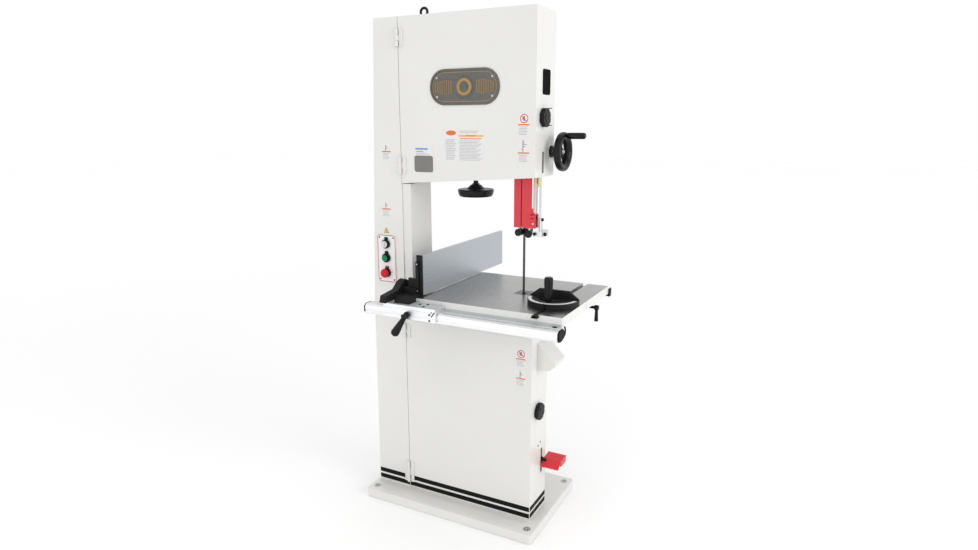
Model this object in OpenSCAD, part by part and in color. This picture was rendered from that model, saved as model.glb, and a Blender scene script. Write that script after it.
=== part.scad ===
/* [Machine] */
// Height of the top of the upper wheel housing above the floor
machine_h = 2000; // [1990:1:2010]
// Radius of both band wheels over their tyres
wheel_r = 228.8; // [226:0.1:229]
// Height of the upper wheel's axis with the blade tensioned
upper_axis_z = 1700; // [1695:1:1705]
// Height of the lower wheel's axis
lower_axis_z = 490; // [485:1:500]

/* [Blade] */
// Width of the blade from tooth tips to back
blade_w = 22; // [16:1:22]
// Thickness of the blade
blade_t = 0.9; // [0.6:0.1:0.9]

/* [Table] */
// Height of the table's surface above the floor
table_z = 948; // [946:1:950]
// Thickness of the table's plate between its ribs
table_plate = 16; // [14:1:16]
// Depth of the table's rim below its surface
table_rim = 33; // [30:1:33]

/* [Fence] */
// Height of the fence plate
fence_h = 158; // [120:1:160]
// Length of the fence plate
fence_len = 697; // [500:1:700]

/* [Casework] */
// Thickness of the sheet that the housings and doors are made of
sheet = 3; // [2:0.5:4]
// Radius of each hole for a floor anchor
anchor_r = 7; // [5:0.5:9]

/* [Hidden] */
$fn = 64;
// Gap between faces that slide or swing past each other
gap = 0.3;
// Radial clearance of a shaft that turns in a bore
run = 0.06;
// Front plane of the spine and of both doors
front_y = -145;
// Plane between the doors and the housings
seam_y = -97;
// Backs of the upper and lower housings
upper_back = 31;
lower_back = 14;
// Line of the door hinges, where the spine ends and the housings start
hinge_x = -229;
// Right walls of the upper and lower housings
upper_right = 348;
lower_right = 346;
// Throat side of the column
throat_x = -190;
// Door hinges, as the height of the middle and the length, with their pins and leaves
HINGES = [[1923, 64], [1444, 64], [760, 60], [115, 96]];
hinge_y = front_y - 7;
pin_r = 3.5;
leaf_t = 4;
// Tops of the base, the lower housing and the lower door
base_top = 40;
low_top = 806;
low_door_top = 808;
// The two ends of the upper housing's sloping underside
under_left = 1373;
under_right = 1413;
// Axis of both wheels, and the middle plane of their rims
wheel_x = 25;
wheel_y = -24;
wheel_w = 32;
tyre_t = 5;
axle_r = 12.5;
// Blade gap off the tyre, and the middle of its cutting run
blade_gap = 0.45;
blade_in = wheel_r + blade_gap;
blade_x = wheel_x + blade_in + blade_t / 2;
// Tension screw behind the upper wheel
screw_y = 8;
screw_r = 8;
// Rods that the tension carriage slides on, either side of the screw
rail_dx = 42;
// Guide post and the pinion that raises it
post_x = 301;
post_w = 24;
post_y = -48;
rack_y = -24;
rack_d = 8;
pinion_module = 1.25;
pinion_teeth = 32;
pinion_r = pinion_module * pinion_teeth / 2;
crank_y = rack_y + rack_d - pinion_module + pinion_r;
crank_z = 1502;
guide_z = 1194;
// Drive: pulleys behind the cabinet
pulley_y = 76;
pulley_w = 20;
driven_r = 90;
driver_r = 38;
motor_x = 100;
motor_z = 140;
belt_t = 7;
// Table
table_left = -180;
table_right = 516;
table_front = -279;
table_back = 252;
arc_r = 125;
// Front and rear arcs that the table tilts on
ARC_Y = [[-88, -72], [95, 111]];
slot_x = 417;
tilt_y = 124;
tilt_z = table_z - 62;
insert_x = [218, 290];
insert_y = [-45, 27];
// Front rail and fence
RAIL_Y = [-335, -279];
RAIL_Z = [873, 914.6];
rail_left = -288;
rail_right = 520;
CARRIAGE_X = [-190, 42];
fence_x = -84;
fence_y = -245;
fence_t = 12;
fence_gap = 5;
lever_y = -240;
lever_z = 984;
grip_x = -80;
grip_z = 900;
// Miter gauge
miter_y = -115;
miter_knob_y = -165;
miter_h = 22;
// Brake
brake_x = 60;
brake_z = 240;
brake_y = -30;

function under_z(x) = under_left + (x - hinge_x) * (under_right - under_left) / (upper_right - hinge_x);
function arc_points(c, r, a0, a1, n) =
    [for (i = [0:n]) let (a = a0 + (a1 - a0) * i / n) c + r * [cos(a), sin(a)]];
// Outline of a belt round two pulleys in the XZ plane
function belt_outline(c1, r1, c2, r2) =
    let (d = norm(c2 - c1), a = atan2(c2[1] - c1[1], c2[0] - c1[0]), b = acos((r1 - r2) / d))
    concat(arc_points(c1, r1, a + b, a + 360 - b, 40), arc_points(c2, r2, a - b, a + b, 24));

module box(x, y, z) {
    translate([x[0], y[0], z[0]]) cube([x[1] - x[0], y[1] - y[0], z[1] - z[0]]);
}
// Round bars along each axis
module rod_x(x, y, z, r) {
    translate([x[0], y, z]) rotate([0, 90, 0]) cylinder(h = x[1] - x[0], r = r);
}
module rod_y(x, y, z, r) {
    translate([x, y[0], z]) rotate([-90, 0, 0]) cylinder(h = y[1] - y[0], r = r);
}
module rod_z(x, y, z, r) {
    translate([x, y, z[0]]) cylinder(h = z[1] - z[0], r = r);
}
// Flat outlines in XZ or YZ, pulled out along Y or X
module slab_y(y) {
    translate([0, y[1], 0]) rotate([90, 0, 0]) linear_extrude(y[1] - y[0]) children();
}
module slab_x(x) {
    translate([x[0], 0, 0]) rotate([90, 0, 90]) linear_extrude(x[1] - x[0]) children();
}
module ring_y(x, y, z, outer, inner) {
    difference() {
        rod_y(x, y, z, outer);
        rod_y(x, [y[0] - 1, y[1] + 1], z, inner);
    }
}
// A block with its four upright edges cut at 45 degrees
module chamfered_plate(x, y, z, c) {
    translate([0, 0, z[0]]) linear_extrude(z[1] - z[0]) polygon([
        [x[0] + c, y[0]], [x[1] - c, y[0]], [x[1], y[0] + c], [x[1], y[1] - c],
        [x[1] - c, y[1]], [x[0] + c, y[1]], [x[0], y[1] - c], [x[0], y[0] + c]]);
}

// Pressed base with an open underside and four anchor holes
module base_plate() {
    half_x = 393;
    half_y = 240;
    wall = 6;
    hole = [362, 205];
    boss_r = 18;
    color("ivory") difference() {
        union() {
            difference() {
                chamfered_plate([-half_x, half_x], [-half_y, half_y], [0, base_top], 6);
                chamfered_plate([wall - half_x, half_x - wall], [wall - half_y, half_y - wall],
                    [-1, base_top - wall], 4);
            }
            for (x = [-200, 0, 200]) box([x - 3, x + 3], [wall - half_y - 1, half_y - wall + 1],
                [0, base_top - 3]);
            for (sx = [-1, 1], sy = [-1, 1]) rod_z(sx * hole[0], sy * hole[1], [0, base_top - 3], boss_r);
        }
        for (sx = [-1, 1], sy = [-1, 1]) rod_z(sx * hole[0], sy * hole[1], [-1, base_top + 1], anchor_r);
    }
}

// Closed box column, wider at its foot
module spine() {
    foot_x = -388;
    knee = [-383, 873];
    top_x = -340;
    color("ivory") difference() {
        slab_y([front_y, lower_back]) polygon([[foot_x, base_top], [hinge_x, base_top],
            [hinge_x, machine_h], [top_x, machine_h], knee]);
        slab_y([front_y + sheet, lower_back - sheet]) polygon([
            [foot_x + sheet, base_top + sheet], [hinge_x - sheet, base_top + sheet],
            [hinge_x - sheet, machine_h - sheet], [top_x + sheet, machine_h - sheet],
            [knee[0] + sheet, knee[1]]]);
        // Holes of the three switches and of the supply gland
        for (z = [1001, 1064, 1122]) rod_y(-311, [front_y - 1, front_y + sheet + 1], z, 11);
        rod_y(-310, [lower_back - sheet - 1, lower_back + 1], 300, 10);
    }
}

// Channel that covers the rising run of the blade across the throat
module blade_run_cover() {
    cover_front = front_y + 5;
    foot = low_door_top + 2;
    clear = 1.5;
    wall = 2;
    color("ivory") difference() {
        box([hinge_x, throat_x], [cover_front, lower_back - 2], [foot, under_left - clear]);
        box([hinge_x - 1, throat_x - wall], [cover_front + wall, lower_back - 2 - wall], [foot - 1, 1400]);
    }
}

// Outline of the upper housing, inset by a wall
module upper_outline(w, left) {
    polygon([[left + w, under_z(left + w) + w], [upper_right - w, under_z(upper_right - w) + w],
        [upper_right - w, machine_h - w], [left + w, machine_h - w]]);
}

module upper_housing() {
    color("ivory") difference() {
        slab_y([seam_y, upper_back]) upper_outline(0, hinge_x);
        slab_y([seam_y - 1, upper_back - sheet]) upper_outline(sheet, hinge_x);
        // Rising and falling runs of the blade, guide post and guard
        box([wheel_x - blade_in - 10, wheel_x - blade_in + 9], [-50, 5], [1360, 1400]);
        box([216, 332], [-72, -10], [1380, 1430]);
        rod_z(wheel_x, screw_y, [1360, 1410], screw_r + 1);
        // Window, guide scale slot, crank shaft and latch in the right wall
        box([upper_right - sheet - 1, upper_right + 1], [-87, -19], [1707, 1792]);
        box([upper_right - sheet - 1, upper_right + 1], [-78, -72], [1430, 1500]);
        rod_x([upper_right - sheet - 1, upper_right + 1], crank_y, crank_z, 14);
        rod_x([upper_right - sheet - 1, upper_right + 1], -82, 1625, 7);
        // Slot of the tracking screw in the back
        box([wheel_x - 10, wheel_x + 10], [upper_back - sheet - 1, upper_back + 1], [1650, 1730]);
    }
}

module lower_housing() {
    color("ivory") difference() {
        box([hinge_x, lower_right], [seam_y, lower_back], [base_top, low_top]);
        box([hinge_x + sheet, lower_right - sheet], [seam_y - 1, lower_back - sheet],
            [base_top + sheet, low_top - sheet]);
        // Both runs of the blade through the top
        box([wheel_x - blade_in - 10, wheel_x - blade_in + 9], [-50, 5], [low_top - 10, low_top + 1]);
        box([blade_x - 16, blade_x + 16], [-50, -6], [low_top - 10, low_top + 1]);
        // Wheel shaft and dust port in the back
        rod_y(wheel_x, [lower_back - 10, lower_back + 1], lower_axis_z, 33);
        rod_y(250, [lower_back - 10, lower_back + 1], 640, 48);
        // Latch, pedal slot and hood mouth in the right wall
        rod_x([lower_right - 10, lower_right + 1], -81, 491, 7);
        box([lower_right - 10, lower_right + 1], [brake_y - 8, brake_y + 8], [200, 308]);
        box([lower_right - 10, lower_right + 1], [-80, 4], [674, 750]);
    }
}

// Wedge-shaped scoop on the right wall, cut to clear the tilted table
module dust_hood() {
    wall = 2;
    apex = [421, 701];
    foot = [lower_right, 664];
    knee = [396, 669];
    color("ivory") difference() {
        slab_y([-92, lower_back]) polygon([foot, knee, [apex[0], apex[1] - 11], apex,
            [lower_right, apex[1] + 75]]);
        slab_y([-92 + wall, lower_back - wall]) polygon([[foot[0] - 1, foot[1] + wall],
            [knee[0] - 0.8, knee[1] + wall + 0.2], [apex[0] - wall, apex[1] - 9],
                [apex[0] - wall, apex[1] - wall], [lower_right - 1, apex[1] + 72]]);
    }
}

// Flanged hose port on the back of the lower housing
module dust_port() {
    color("ivory") difference() {
        union() {
            rod_y(250, [lower_back, lower_back + 4], 640, 66);
            rod_y(250, [lower_back, lower_back + 50], 640, 50.8);
        }
        rod_y(250, [lower_back - 1, lower_back + 51], 640, 48);
    }
}

module lifting_eye() {
    eye_z = machine_h + 28;
    color("gray") translate([-180, -30, 0]) {
        translate([0, 0, machine_h]) cylinder(h = 6, r = 14);
        translate([0, 0, machine_h + 5]) cylinder(h = 10, r = 8);
        translate([0, 0, eye_z]) rotate([90, 0, 0]) rotate_extrude() translate([15, 0]) circle(5);
    }
}

// Leaves on the spine, their outer knuckles, and the pins that they hold
module hinge_knuckles() {
    color("ivory") for (h = HINGES) {
        for (s = [-1, 1]) translate([0, 0, h[0] + s * h[1] / 3]) {
            translate([hinge_x, hinge_y, 0]) cylinder(h = h[1] / 3 - 1, r = 6.5, center = true);
            box([hinge_x - 22, hinge_x - 2], [front_y - leaf_t, front_y], [-h[1] / 6 + 0.5, h[1] / 6 - 0.5]);
        }
        box([hinge_x - 22, hinge_x - 9], [front_y - leaf_t, front_y], [h[0] - h[1] / 2, h[0] + h[1] / 2]);
        rod_z(hinge_x, hinge_y, [h[0] - h[1] / 2, h[0] + h[1] / 2], pin_r);
    }
}
// The middle knuckle and leaf that belong to a door
module door_leaf(h) {
    half = h[1] / 6 - gap;
    difference() {
        union() {
            box([hinge_x + 9, hinge_x + 24], [front_y - leaf_t, front_y + 0.1],
                [h[0] - h[1] / 2, h[0] + h[1] / 2]);
            box([hinge_x + 2, hinge_x + 10], [front_y - leaf_t, front_y + 0.1], [h[0] - half, h[0] + half]);
            rod_z(hinge_x, hinge_y, [h[0] - half, h[0] + half], 6.5);
        }
        rod_z(hinge_x, hinge_y, [h[0] - h[1], h[0] + h[1]], pin_r + run);
    }
}

module control_plate() {
    color("white") difference() {
        box([-357, -265], [front_y - 3, front_y], [960, 1160]);
        for (z = [1001, 1064, 1122]) rod_y(-311, [front_y - 4, front_y + 1], z, 11);
    }
}
// Collar rings round the key switch, the start button and the stop button
module switch_bezels() {
    color("black") for (z = [1001, 1064, 1122])
        difference() {
            union() {
                rod_y(-311, [front_y - 13, front_y - 3], z, 19);
                rod_y(-311, [front_y - 3, front_y + 20], z, 10.9);
            }
            rod_y(-311, [front_y - 14, front_y + 21], z, 8.06);
        }
}
// Strain-relief gland of the supply lead
module cable_gland() {
    color("black") difference() {
        union() {
            rod_y(-310, [lower_back - 6, lower_back + 28], 300, 9.9);
            translate([-310, lower_back, 300]) rotate([-90, 0, 0]) cylinder(h = 12, r = 16, $fn = 6);
        }
        rod_y(-310, [lower_back - 7, lower_back + 29], 300, 5);
    }
}

// Endless band round both wheels
module blade_loop(r) {
    translate([wheel_x, upper_axis_z]) circle(r, $fn = 128);
    translate([wheel_x, lower_axis_z]) circle(r, $fn = 128);
    translate([wheel_x - r, lower_axis_z]) square([2 * r, upper_axis_z - lower_axis_z]);
}
module blade() {
    color("dimgray") slab_y([wheel_y - blade_w / 2, wheel_y + blade_w / 2]) difference() {
        blade_loop(blade_in + blade_t);
        blade_loop(blade_in);
    }
}

// Two upright rods between blocks on the housing's back
module tension_rails() {
    color("silver") difference() {
        union() {
            for (s = [-1, 1]) rod_z(wheel_x + s * rail_dx, 12, [1480, 1900], 8);
            for (z = [1475, 1890]) box([wheel_x - 56, wheel_x + 56], [-4, upper_back - sheet], [z, z + 15]);
        }
        rod_z(wheel_x, screw_y, [1470, 1495], screw_r + 1);
    }
}

// Slotted block that the guide post slides in
module post_guide() {
    wall = 8;
    color("dimgray") crank_bush();
    color("dimgray") difference() {
        box([post_x - wall, upper_right - sheet], [post_y - wall, 4], [1424, 1474]);
        box([post_x - gap, post_x + post_w + gap], [post_y - gap, rack_y + rack_d + gap], [1420, 1480]);
    }
}
// Flanged bush of the crank shaft
module crank_bush() {
    difference() {
        union() {
            rod_x([upper_right - sheet - 14, upper_right + 6], crank_y, crank_z, 13.9);
            rod_x([upper_right, upper_right + 6], crank_y, crank_z, 22);
        }
        rod_x([upper_right - 40, upper_right + 10], crank_y, crank_z, 8 + run);
    }
}

// Tube that holds the lower wheel's shaft in the cabinet's back
module bearing_housing() {
    color("dimgray") difference() {
        union() {
            rod_y(wheel_x, [-2, 70], lower_axis_z, 32);
            rod_y(wheel_x, [lower_back - sheet - 8, lower_back - sheet], lower_axis_z, 62);
        }
        rod_y(wheel_x, [-3, 71], lower_axis_z, 15 + run);
    }
}

// Closed guard over the belt and both pulleys
module belt_cover() {
    back = 108;
    wall = 2;
    axis_1 = [wheel_x, lower_axis_z];
    axis_2 = [motor_x, motor_z];
    color("ivory") difference() {
        slab_y([lower_back, back]) polygon(belt_outline(axis_1, driven_r + 22, axis_2, driver_r + 20));
        slab_y([lower_back - 1, back - wall])
            polygon(belt_outline(axis_1, driven_r + 22 - wall, axis_2, driver_r + 20 - wall));
        rod_y(motor_x, [back - 5, back + 1], motor_z, 16);
    }
}

// Foot-mounted motor with a fan cowl and a terminal box
module motor() {
    front = 108;
    color("dimgray") {
        rod_y(motor_x, [front, front + 12], motor_z, 62);
        rod_y(motor_x, [front + 12, front + 92], motor_z, 74);
        rod_y(motor_x, [front + 92, front + 124], motor_z, 77);
        for (s = [-1, 1]) box([motor_x + s * 58 - 12, motor_x + s * 58 + 12],
            [front + 24, front + 82], [base_top, motor_z - 40]);
        box([motor_x - 38, motor_x + 38], [front + 20, front + 84], [motor_z + 60, motor_z + 102]);
    }
}
module drive_belt() {
    axis_1 = [wheel_x, lower_axis_z];
    axis_2 = [motor_x, motor_z];
    color("black") difference() {
        slab_y([pulley_y + 3 + gap, pulley_y + pulley_w - 3 - gap])
            polygon(belt_outline(axis_1, driven_r + gap + belt_t, axis_2, driver_r + gap + belt_t));
        slab_y([pulley_y, pulley_y + pulley_w])
            polygon(belt_outline(axis_1, driven_r + 2 * gap, axis_2, driver_r + 2 * gap));
    }
}

// Cast feet with hollow arcs that the table's arcs swing in
module trunnion_cradles() {
    color("dimgray") difference() {
        union() {
            for (y = ARC_Y) slab_y(y) polygon([[150, low_top], [314, low_top], [314, table_z - 110],
                [150, table_z - 75]]);
            // Bridge that carries the rear cradle behind the housing
            box([190, 290], [-72, 95], [low_top, low_top + 6]);
            for (x = [190, 280]) box([x, x + 10], [-72, 95], [low_top, low_top + 28]);
        }
        rod_y(blade_x, [-100, 120], table_z, arc_r + gap);
        box([blade_x - 16, blade_x + 16], [-50, -6], [low_top - 1, low_top + 20]);
    }
}

// Fixed guide blocks under the table
module lower_guides() {
    block_z = [838, 858];
    color("dimgray") {
        // Upright behind the blade and the arms round it
        box([blade_x - 24, blade_x + 24], [8, 20], [low_top + 6, block_z[1]]);
        box([blade_x - 24, blade_x - 12], [-34, 8], block_z);
        box([blade_x + 12, blade_x + 24], [-34, 8], block_z);
        rod_x([blade_x - 12, blade_x - blade_t / 2 - 0.4], -24, 848, 6);
        rod_x([blade_x + blade_t / 2 + 0.4, blade_x + 12], -24, 848, 6);
        rod_y(blade_x, [wheel_y + blade_w / 2 + 1, 8], 848, 8);
    }
}

// Forked bracket and pin of the foot brake, on the cabinet's floor
module brake_bracket() {
    color("dimgray") {
        for (s = [-1, 1]) box([brake_x - 15, brake_x + 15], [brake_y + s * 12 - 3, brake_y + s * 12 + 3],
            [base_top + sheet, brake_z + 14]);
        box([brake_x - 15, brake_x + 15], [brake_y - 12, brake_y + 12],
            [base_top + sheet, base_top + sheet + 6]);
        rod_y(brake_x, [brake_y - 15, brake_y + 15], brake_z, 6);
    }
}

// Outline of the upper door, inset by a wall
module door_outline(w, z0l, z0r, z1, right) {
    polygon([[hinge_x + 2 + w, z0l + w], [right - w, z0r + w], [right - w, z1 - w],
        [hinge_x + 2 + w, z1 - w]]);
}
module upper_door() {
    color("ivory") {
        difference() {
            slab_y([front_y, seam_y - 0.5]) door_outline(0, under_left, under_right, machine_h, upper_right);
            slab_y([front_y + sheet, seam_y + 1]) door_outline(sheet, under_left, under_right,
                machine_h, upper_right);
            // Look-through window
            box([-163, -82], [front_y - 1, front_y + sheet + 1], [1422, 1481]);
        }
        for (i = [0, 1]) door_leaf(HINGES[i]);
    }
}
module lower_door() {
    color("ivory") {
        difference() {
            slab_y([front_y, seam_y - 0.5]) door_outline(0, base_top + 1, base_top + 1, low_door_top,
                lower_right);
            slab_y([front_y + sheet, seam_y + 1]) door_outline(sheet, base_top + 1, base_top + 1,
                low_door_top, lower_right);
        }
        for (i = [2, 3]) door_leaf(HINGES[i]);
    }
}

// Lobed knob, its shaft through the wall, and the cam that holds the door
module latch(x, y, z) {
    lobes = 8;
    head = [x + 2, x + 18];
    color("black") difference() {
        rod_x(head, y, z, 34);
        for (i = [0:lobes - 1])
            rod_x([head[0] - 1, head[1] + 1], y + 41 * cos(360 * i / lobes),
                z + 41 * sin(360 * i / lobes), 9.5);
    }
    color("black") rod_x([x - sheet - 8, head[0] + 1], y, z, 6.5);
    color("silver") translate([x - sheet - 8, y, z]) rotate([0, -90, 0]) linear_extrude(5) {
        circle(12);
        translate([0, -7]) square([44, 14]);
    }
}
module upper_latch() {
    latch(upper_right, -82, 1625);
}
module lower_latch() {
    latch(lower_right, -81, 491);
}

// Block on the rods that carries the upper wheel's yoke and the screw's nut
module tension_carriage() {
    z = upper_axis_z;
    color("dimgray") difference() {
        box([wheel_x - 58, wheel_x + 58], [-2, 24], [z - 84, z + 46]);
        for (s = [-1, 1]) rod_z(wheel_x + s * rail_dx, 12, [z - 90, z + 50], 8 + run);
        rod_z(wheel_x, screw_y, [z - 90, z - 55], screw_r + run);
        rod_z(wheel_x, screw_y, [z - 56, z - 26], screw_r + 0.5);
        box([wheel_x - 21, wheel_x + 21], [-3, 16], [z - 24, z + 24]);
        rod_x([wheel_x - 30, wheel_x + 30], 7, z, 6 + run);
        rod_y(wheel_x, [15, 25], z + 12, 5 + run);
    }
    // Stack of disc springs under the nut
    color("silver") for (i = [0:4])
        difference() {
            rod_z(wheel_x, screw_y, [z - 87 - 3 * i, z - 84.2 - 3 * i], 14 - i % 2);
            rod_z(wheel_x, screw_y, [z - 100, z - 84], screw_r + 0.5);
        }
}
// Dished handwheel and screw that raise the carriage
module tension_handwheel() {
    color("black") translate([wheel_x, screw_y, 0]) {
        rotate_extrude() polygon([[0, 1348], [20, 1348], [54, 1328], [60, 1319], [65, 1320], [70, 1329],
            [73, 1344], [70, 1349], [62, 1347], [38, 1350], [26, 1360], [22, 1365], [15, 1367],
                [15, 1371], [0, 1371]]);
        translate([0, 0, 1370]) cylinder(h = 12, r = 11, $fn = 6);
    }
    color("silver") rod_z(wheel_x, screw_y, [1370, upper_axis_z - 50], screw_r);
    color("silver") rod_z(wheel_x, screw_y, [1466, 1474], 14);
}
// Tilting yoke with the upper wheel's axle
module wheel_yoke() {
    z = upper_axis_z;
    color("silver") {
        box([wheel_x - 19, wheel_x + 19], [0, 14], [z - 22, z + 22]);
        rod_x([wheel_x - 29, wheel_x + 29], 7, z, 6);
        rod_y(wheel_x, [wheel_y - wheel_w / 2 - 4, 2], z, axle_r);
        rod_y(wheel_x, [wheel_y - wheel_w / 2 - 10, wheel_y - wheel_w / 2 - 4], z, 20);
    }
}
module tracking_knob() {
    z = upper_axis_z + 12;
    color("silver") rod_y(wheel_x, [14.4, 40], z, 5);
    color("black") difference() {
        rod_y(wheel_x, [38, 60], z, 26);
        for (i = [0:5]) rod_y(wheel_x + 30 * cos(60 * i), [37, 61], z + 30 * sin(60 * i), 9);
    }
}

// Cast band wheel: rim, web with five lightening holes and a hub
module band_wheel(z, bore) {
    spokes = 5;
    rim_in = wheel_r - tyre_t - 18;
    translate([wheel_x, wheel_y, z]) rotate([90, 0, 0]) difference() {
        union() {
            difference() {
                cylinder(h = wheel_w, r = wheel_r - tyre_t, center = true, $fn = 128);
                cylinder(h = wheel_w + 2, r = rim_in, center = true, $fn = 128);
            }
            cylinder(h = 10, r = rim_in + 1, center = true, $fn = 128);
            cylinder(h = wheel_w, r = 34, center = true);
        }
        cylinder(h = wheel_w + 2, r = bore, center = true);
        for (i = [0:spokes - 1]) rotate(90 + i * 360 / spokes) translate([120, 0, 0])
            cylinder(h = 20, r = 52, center = true);
    }
}
module tyre(z) {
    ring_y(wheel_x, [wheel_y - wheel_w / 2 + 1, wheel_y + wheel_w / 2 - 1], z, wheel_r, wheel_r - tyre_t);
}
module upper_wheel() {
    color("gray") band_wheel(upper_axis_z, axle_r + run);
}
module upper_tyre() {
    color("black") tyre(upper_axis_z);
}
module lower_wheel() {
    color("gray") band_wheel(lower_axis_z, 15);
}
module lower_tyre() {
    color("black") tyre(lower_axis_z);
}
module grooved_pulley(x, z, r) {
    translate([x, pulley_y, z]) rotate([-90, 0, 0]) rotate_extrude() polygon([
        [0, 0], [r + 9, 0], [r + 9, 2], [r, 3], [r, pulley_w - 3], [r + 9, pulley_w - 2],
            [r + 9, pulley_w], [0, pulley_w]]);
}
// Lower wheel's shaft with the driven pulley keyed on it
module drive_shaft() {
    color("silver") {
        rod_y(wheel_x, [wheel_y - wheel_w / 2, pulley_y + 2], lower_axis_z, 15);
        rod_y(wheel_x, [wheel_y - wheel_w / 2 - 6, wheel_y - wheel_w / 2], lower_axis_z, 22);
        grooved_pulley(wheel_x, lower_axis_z, driven_r);
    }
}
module motor_pulley() {
    color("silver") {
        grooved_pulley(motor_x, motor_z, driver_r);
        rod_y(motor_x, [pulley_y + pulley_w - 1, 107.6], motor_z, 14);
    }
}

// Square post with a rack milled in its back
module guide_post() {
    pitch = PI * pinion_module;
    foot = 1205;
    head = 1850;
    teeth = floor((head - foot) / pitch) - 2;
    // A gap between teeth is centred on the pinion's height
    first = crank_z - pitch * round((crank_z - foot - 6) / pitch);
    color("silver") difference() {
        box([post_x, post_x + post_w], [post_y, rack_y + rack_d], [foot, head]);
        box([post_x - 1, post_x + 5], [rack_y, rack_y + rack_d + 1], [foot - 1, head + 1]);
        box([post_x + post_w - 5, post_x + post_w + 1], [rack_y, rack_y + rack_d + 1], [foot - 1, head + 1]);
        slab_x([post_x + 4, post_x + post_w - 4]) for (i = [0:teeth - 1]) rack_gap(first + i * pitch);
    }
}
module rack_gap(z) {
    pitch = PI * pinion_module;
    y0 = rack_y + rack_d;
    polygon([[y0 - 2.4 * pinion_module, z - pitch * 0.14], [y0 + 1, z - pitch * 0.42],
        [y0 + 1, z + pitch * 0.42], [y0 - 2.4 * pinion_module, z + pitch * 0.14]]);
}
// Folded guard in front of the blade
module blade_guard() {
    foot = 1216;
    head = 1640;
    front = -60;
    left = 226;
    color("crimson") difference() {
        union() {
            box([left, 301], [front, front + 2], [foot, head]);
            box([left, left + 2], [front, -44], [foot, head]);
            // Tab bolted to the post
            box([294, 301], [front, -30], [foot + 14, foot + 74]);
        }
        // Sight slit over the blade
        box([255, 259], [front - 1, front + 3], [foot - 1, 1400]);
    }
}
// Arm under the post that carries the bearings round the blade
module guide_bracket() {
    arm_z = [1182, 1205];
    color("silver") {
        box([post_x - 1, post_x + post_w + 14], [post_y, 14], arm_z);
        box([228, post_x], [2, 14], arm_z);
        // Cheeks and pin of the thrust bearing
        rod_x([blade_x - 9, blade_x + 9], 0.5, 1234, 4);
        for (s = [-1, 1]) box([blade_x + s * 7.5 - 1.5, blade_x + s * 7.5 + 1.5], [-5, 14], [1204, 1240]);
        // Pins of the two side bearings
        rod_y(blade_x - 13.75 - blade_t / 2, [-29, 3], guide_z, 4);
        rod_y(blade_x + 13.75 + blade_t / 2, [-29, 3], guide_z, 4);
        // Adjusting screws on the right
        rod_x([post_x + post_w + 13, post_x + post_w + 20], -38, 1194, 4);
        box([post_x + post_w + 2, post_x + post_w + 8], [-46, -30], [1204, 1254]);
    }
    color("black") {
        rod_x([post_x + post_w + 18, post_x + post_w + 26], -38, 1194, 7);
        rod_x([post_x + post_w + 7, post_x + post_w + 14], -38, 1249, 6);
    }
}
module side_bearing(s) {
    color("dimgray") ring_y(blade_x + s * (13.75 + blade_t / 2), [-29, -17], guide_z, 13.25, 4 + run);
}
module left_bearing() {
    side_bearing(-1);
}
module right_bearing() {
    side_bearing(1);
}
// Roller behind the blade's back
module thrust_bearing() {
    color("dimgray") difference() {
        rod_x([blade_x - 5, blade_x + 5], 0.5, 1234, 12.5);
        rod_x([blade_x - 6, blade_x + 6], 0.5, 1234, 4 + run);
    }
}
// Crank handwheel on the right wall
module crank_wheel() {
    rim_x = upper_right + 52;
    rim_r = 59;
    throw = 58;
    color("black") {
        translate([rim_x, crank_y, crank_z]) rotate([0, 90, 0]) {
            rotate_extrude() translate([rim_r, 0]) circle(13);
            for (i = [0:2]) rotate(180 + 120 * i) rotate([0, 90, 0]) cylinder(h = rim_r, r = 6);
        }
        rod_x([upper_right + 12, rim_x + 12], crank_y, crank_z, 16);
        rod_x([rim_x + 4, rim_x + 18], crank_y, crank_z + throw, 6);
        translate([rim_x + 16, crank_y, crank_z + throw]) rotate([0, 90, 0]) rotate_extrude() polygon([
            [0, 0], [8, 0], [10, 6], [12, 40], [11, 60], [7, 66], [0, 67]]);
    }
}
module crank_pinion() {
    root_r = pinion_r - 1.3 * pinion_module;
    tip_r = pinion_r + 0.8 * pinion_module;
    pitch = 360 / pinion_teeth;
    color("silver") {
        rod_x([post_x + 2, upper_right + 12], crank_y, crank_z, 8);
        translate([post_x + 3, crank_y, crank_z]) rotate([90, 0, 90]) linear_extrude(18) {
            circle(root_r);
            for (i = [0:pinion_teeth - 1]) rotate(i * pitch)
                polygon([[root_r - 1, -1.05], [tip_r, -0.4], [tip_r, 0.4], [root_r - 1, 1.05]]);
        }
    }
}

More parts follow.
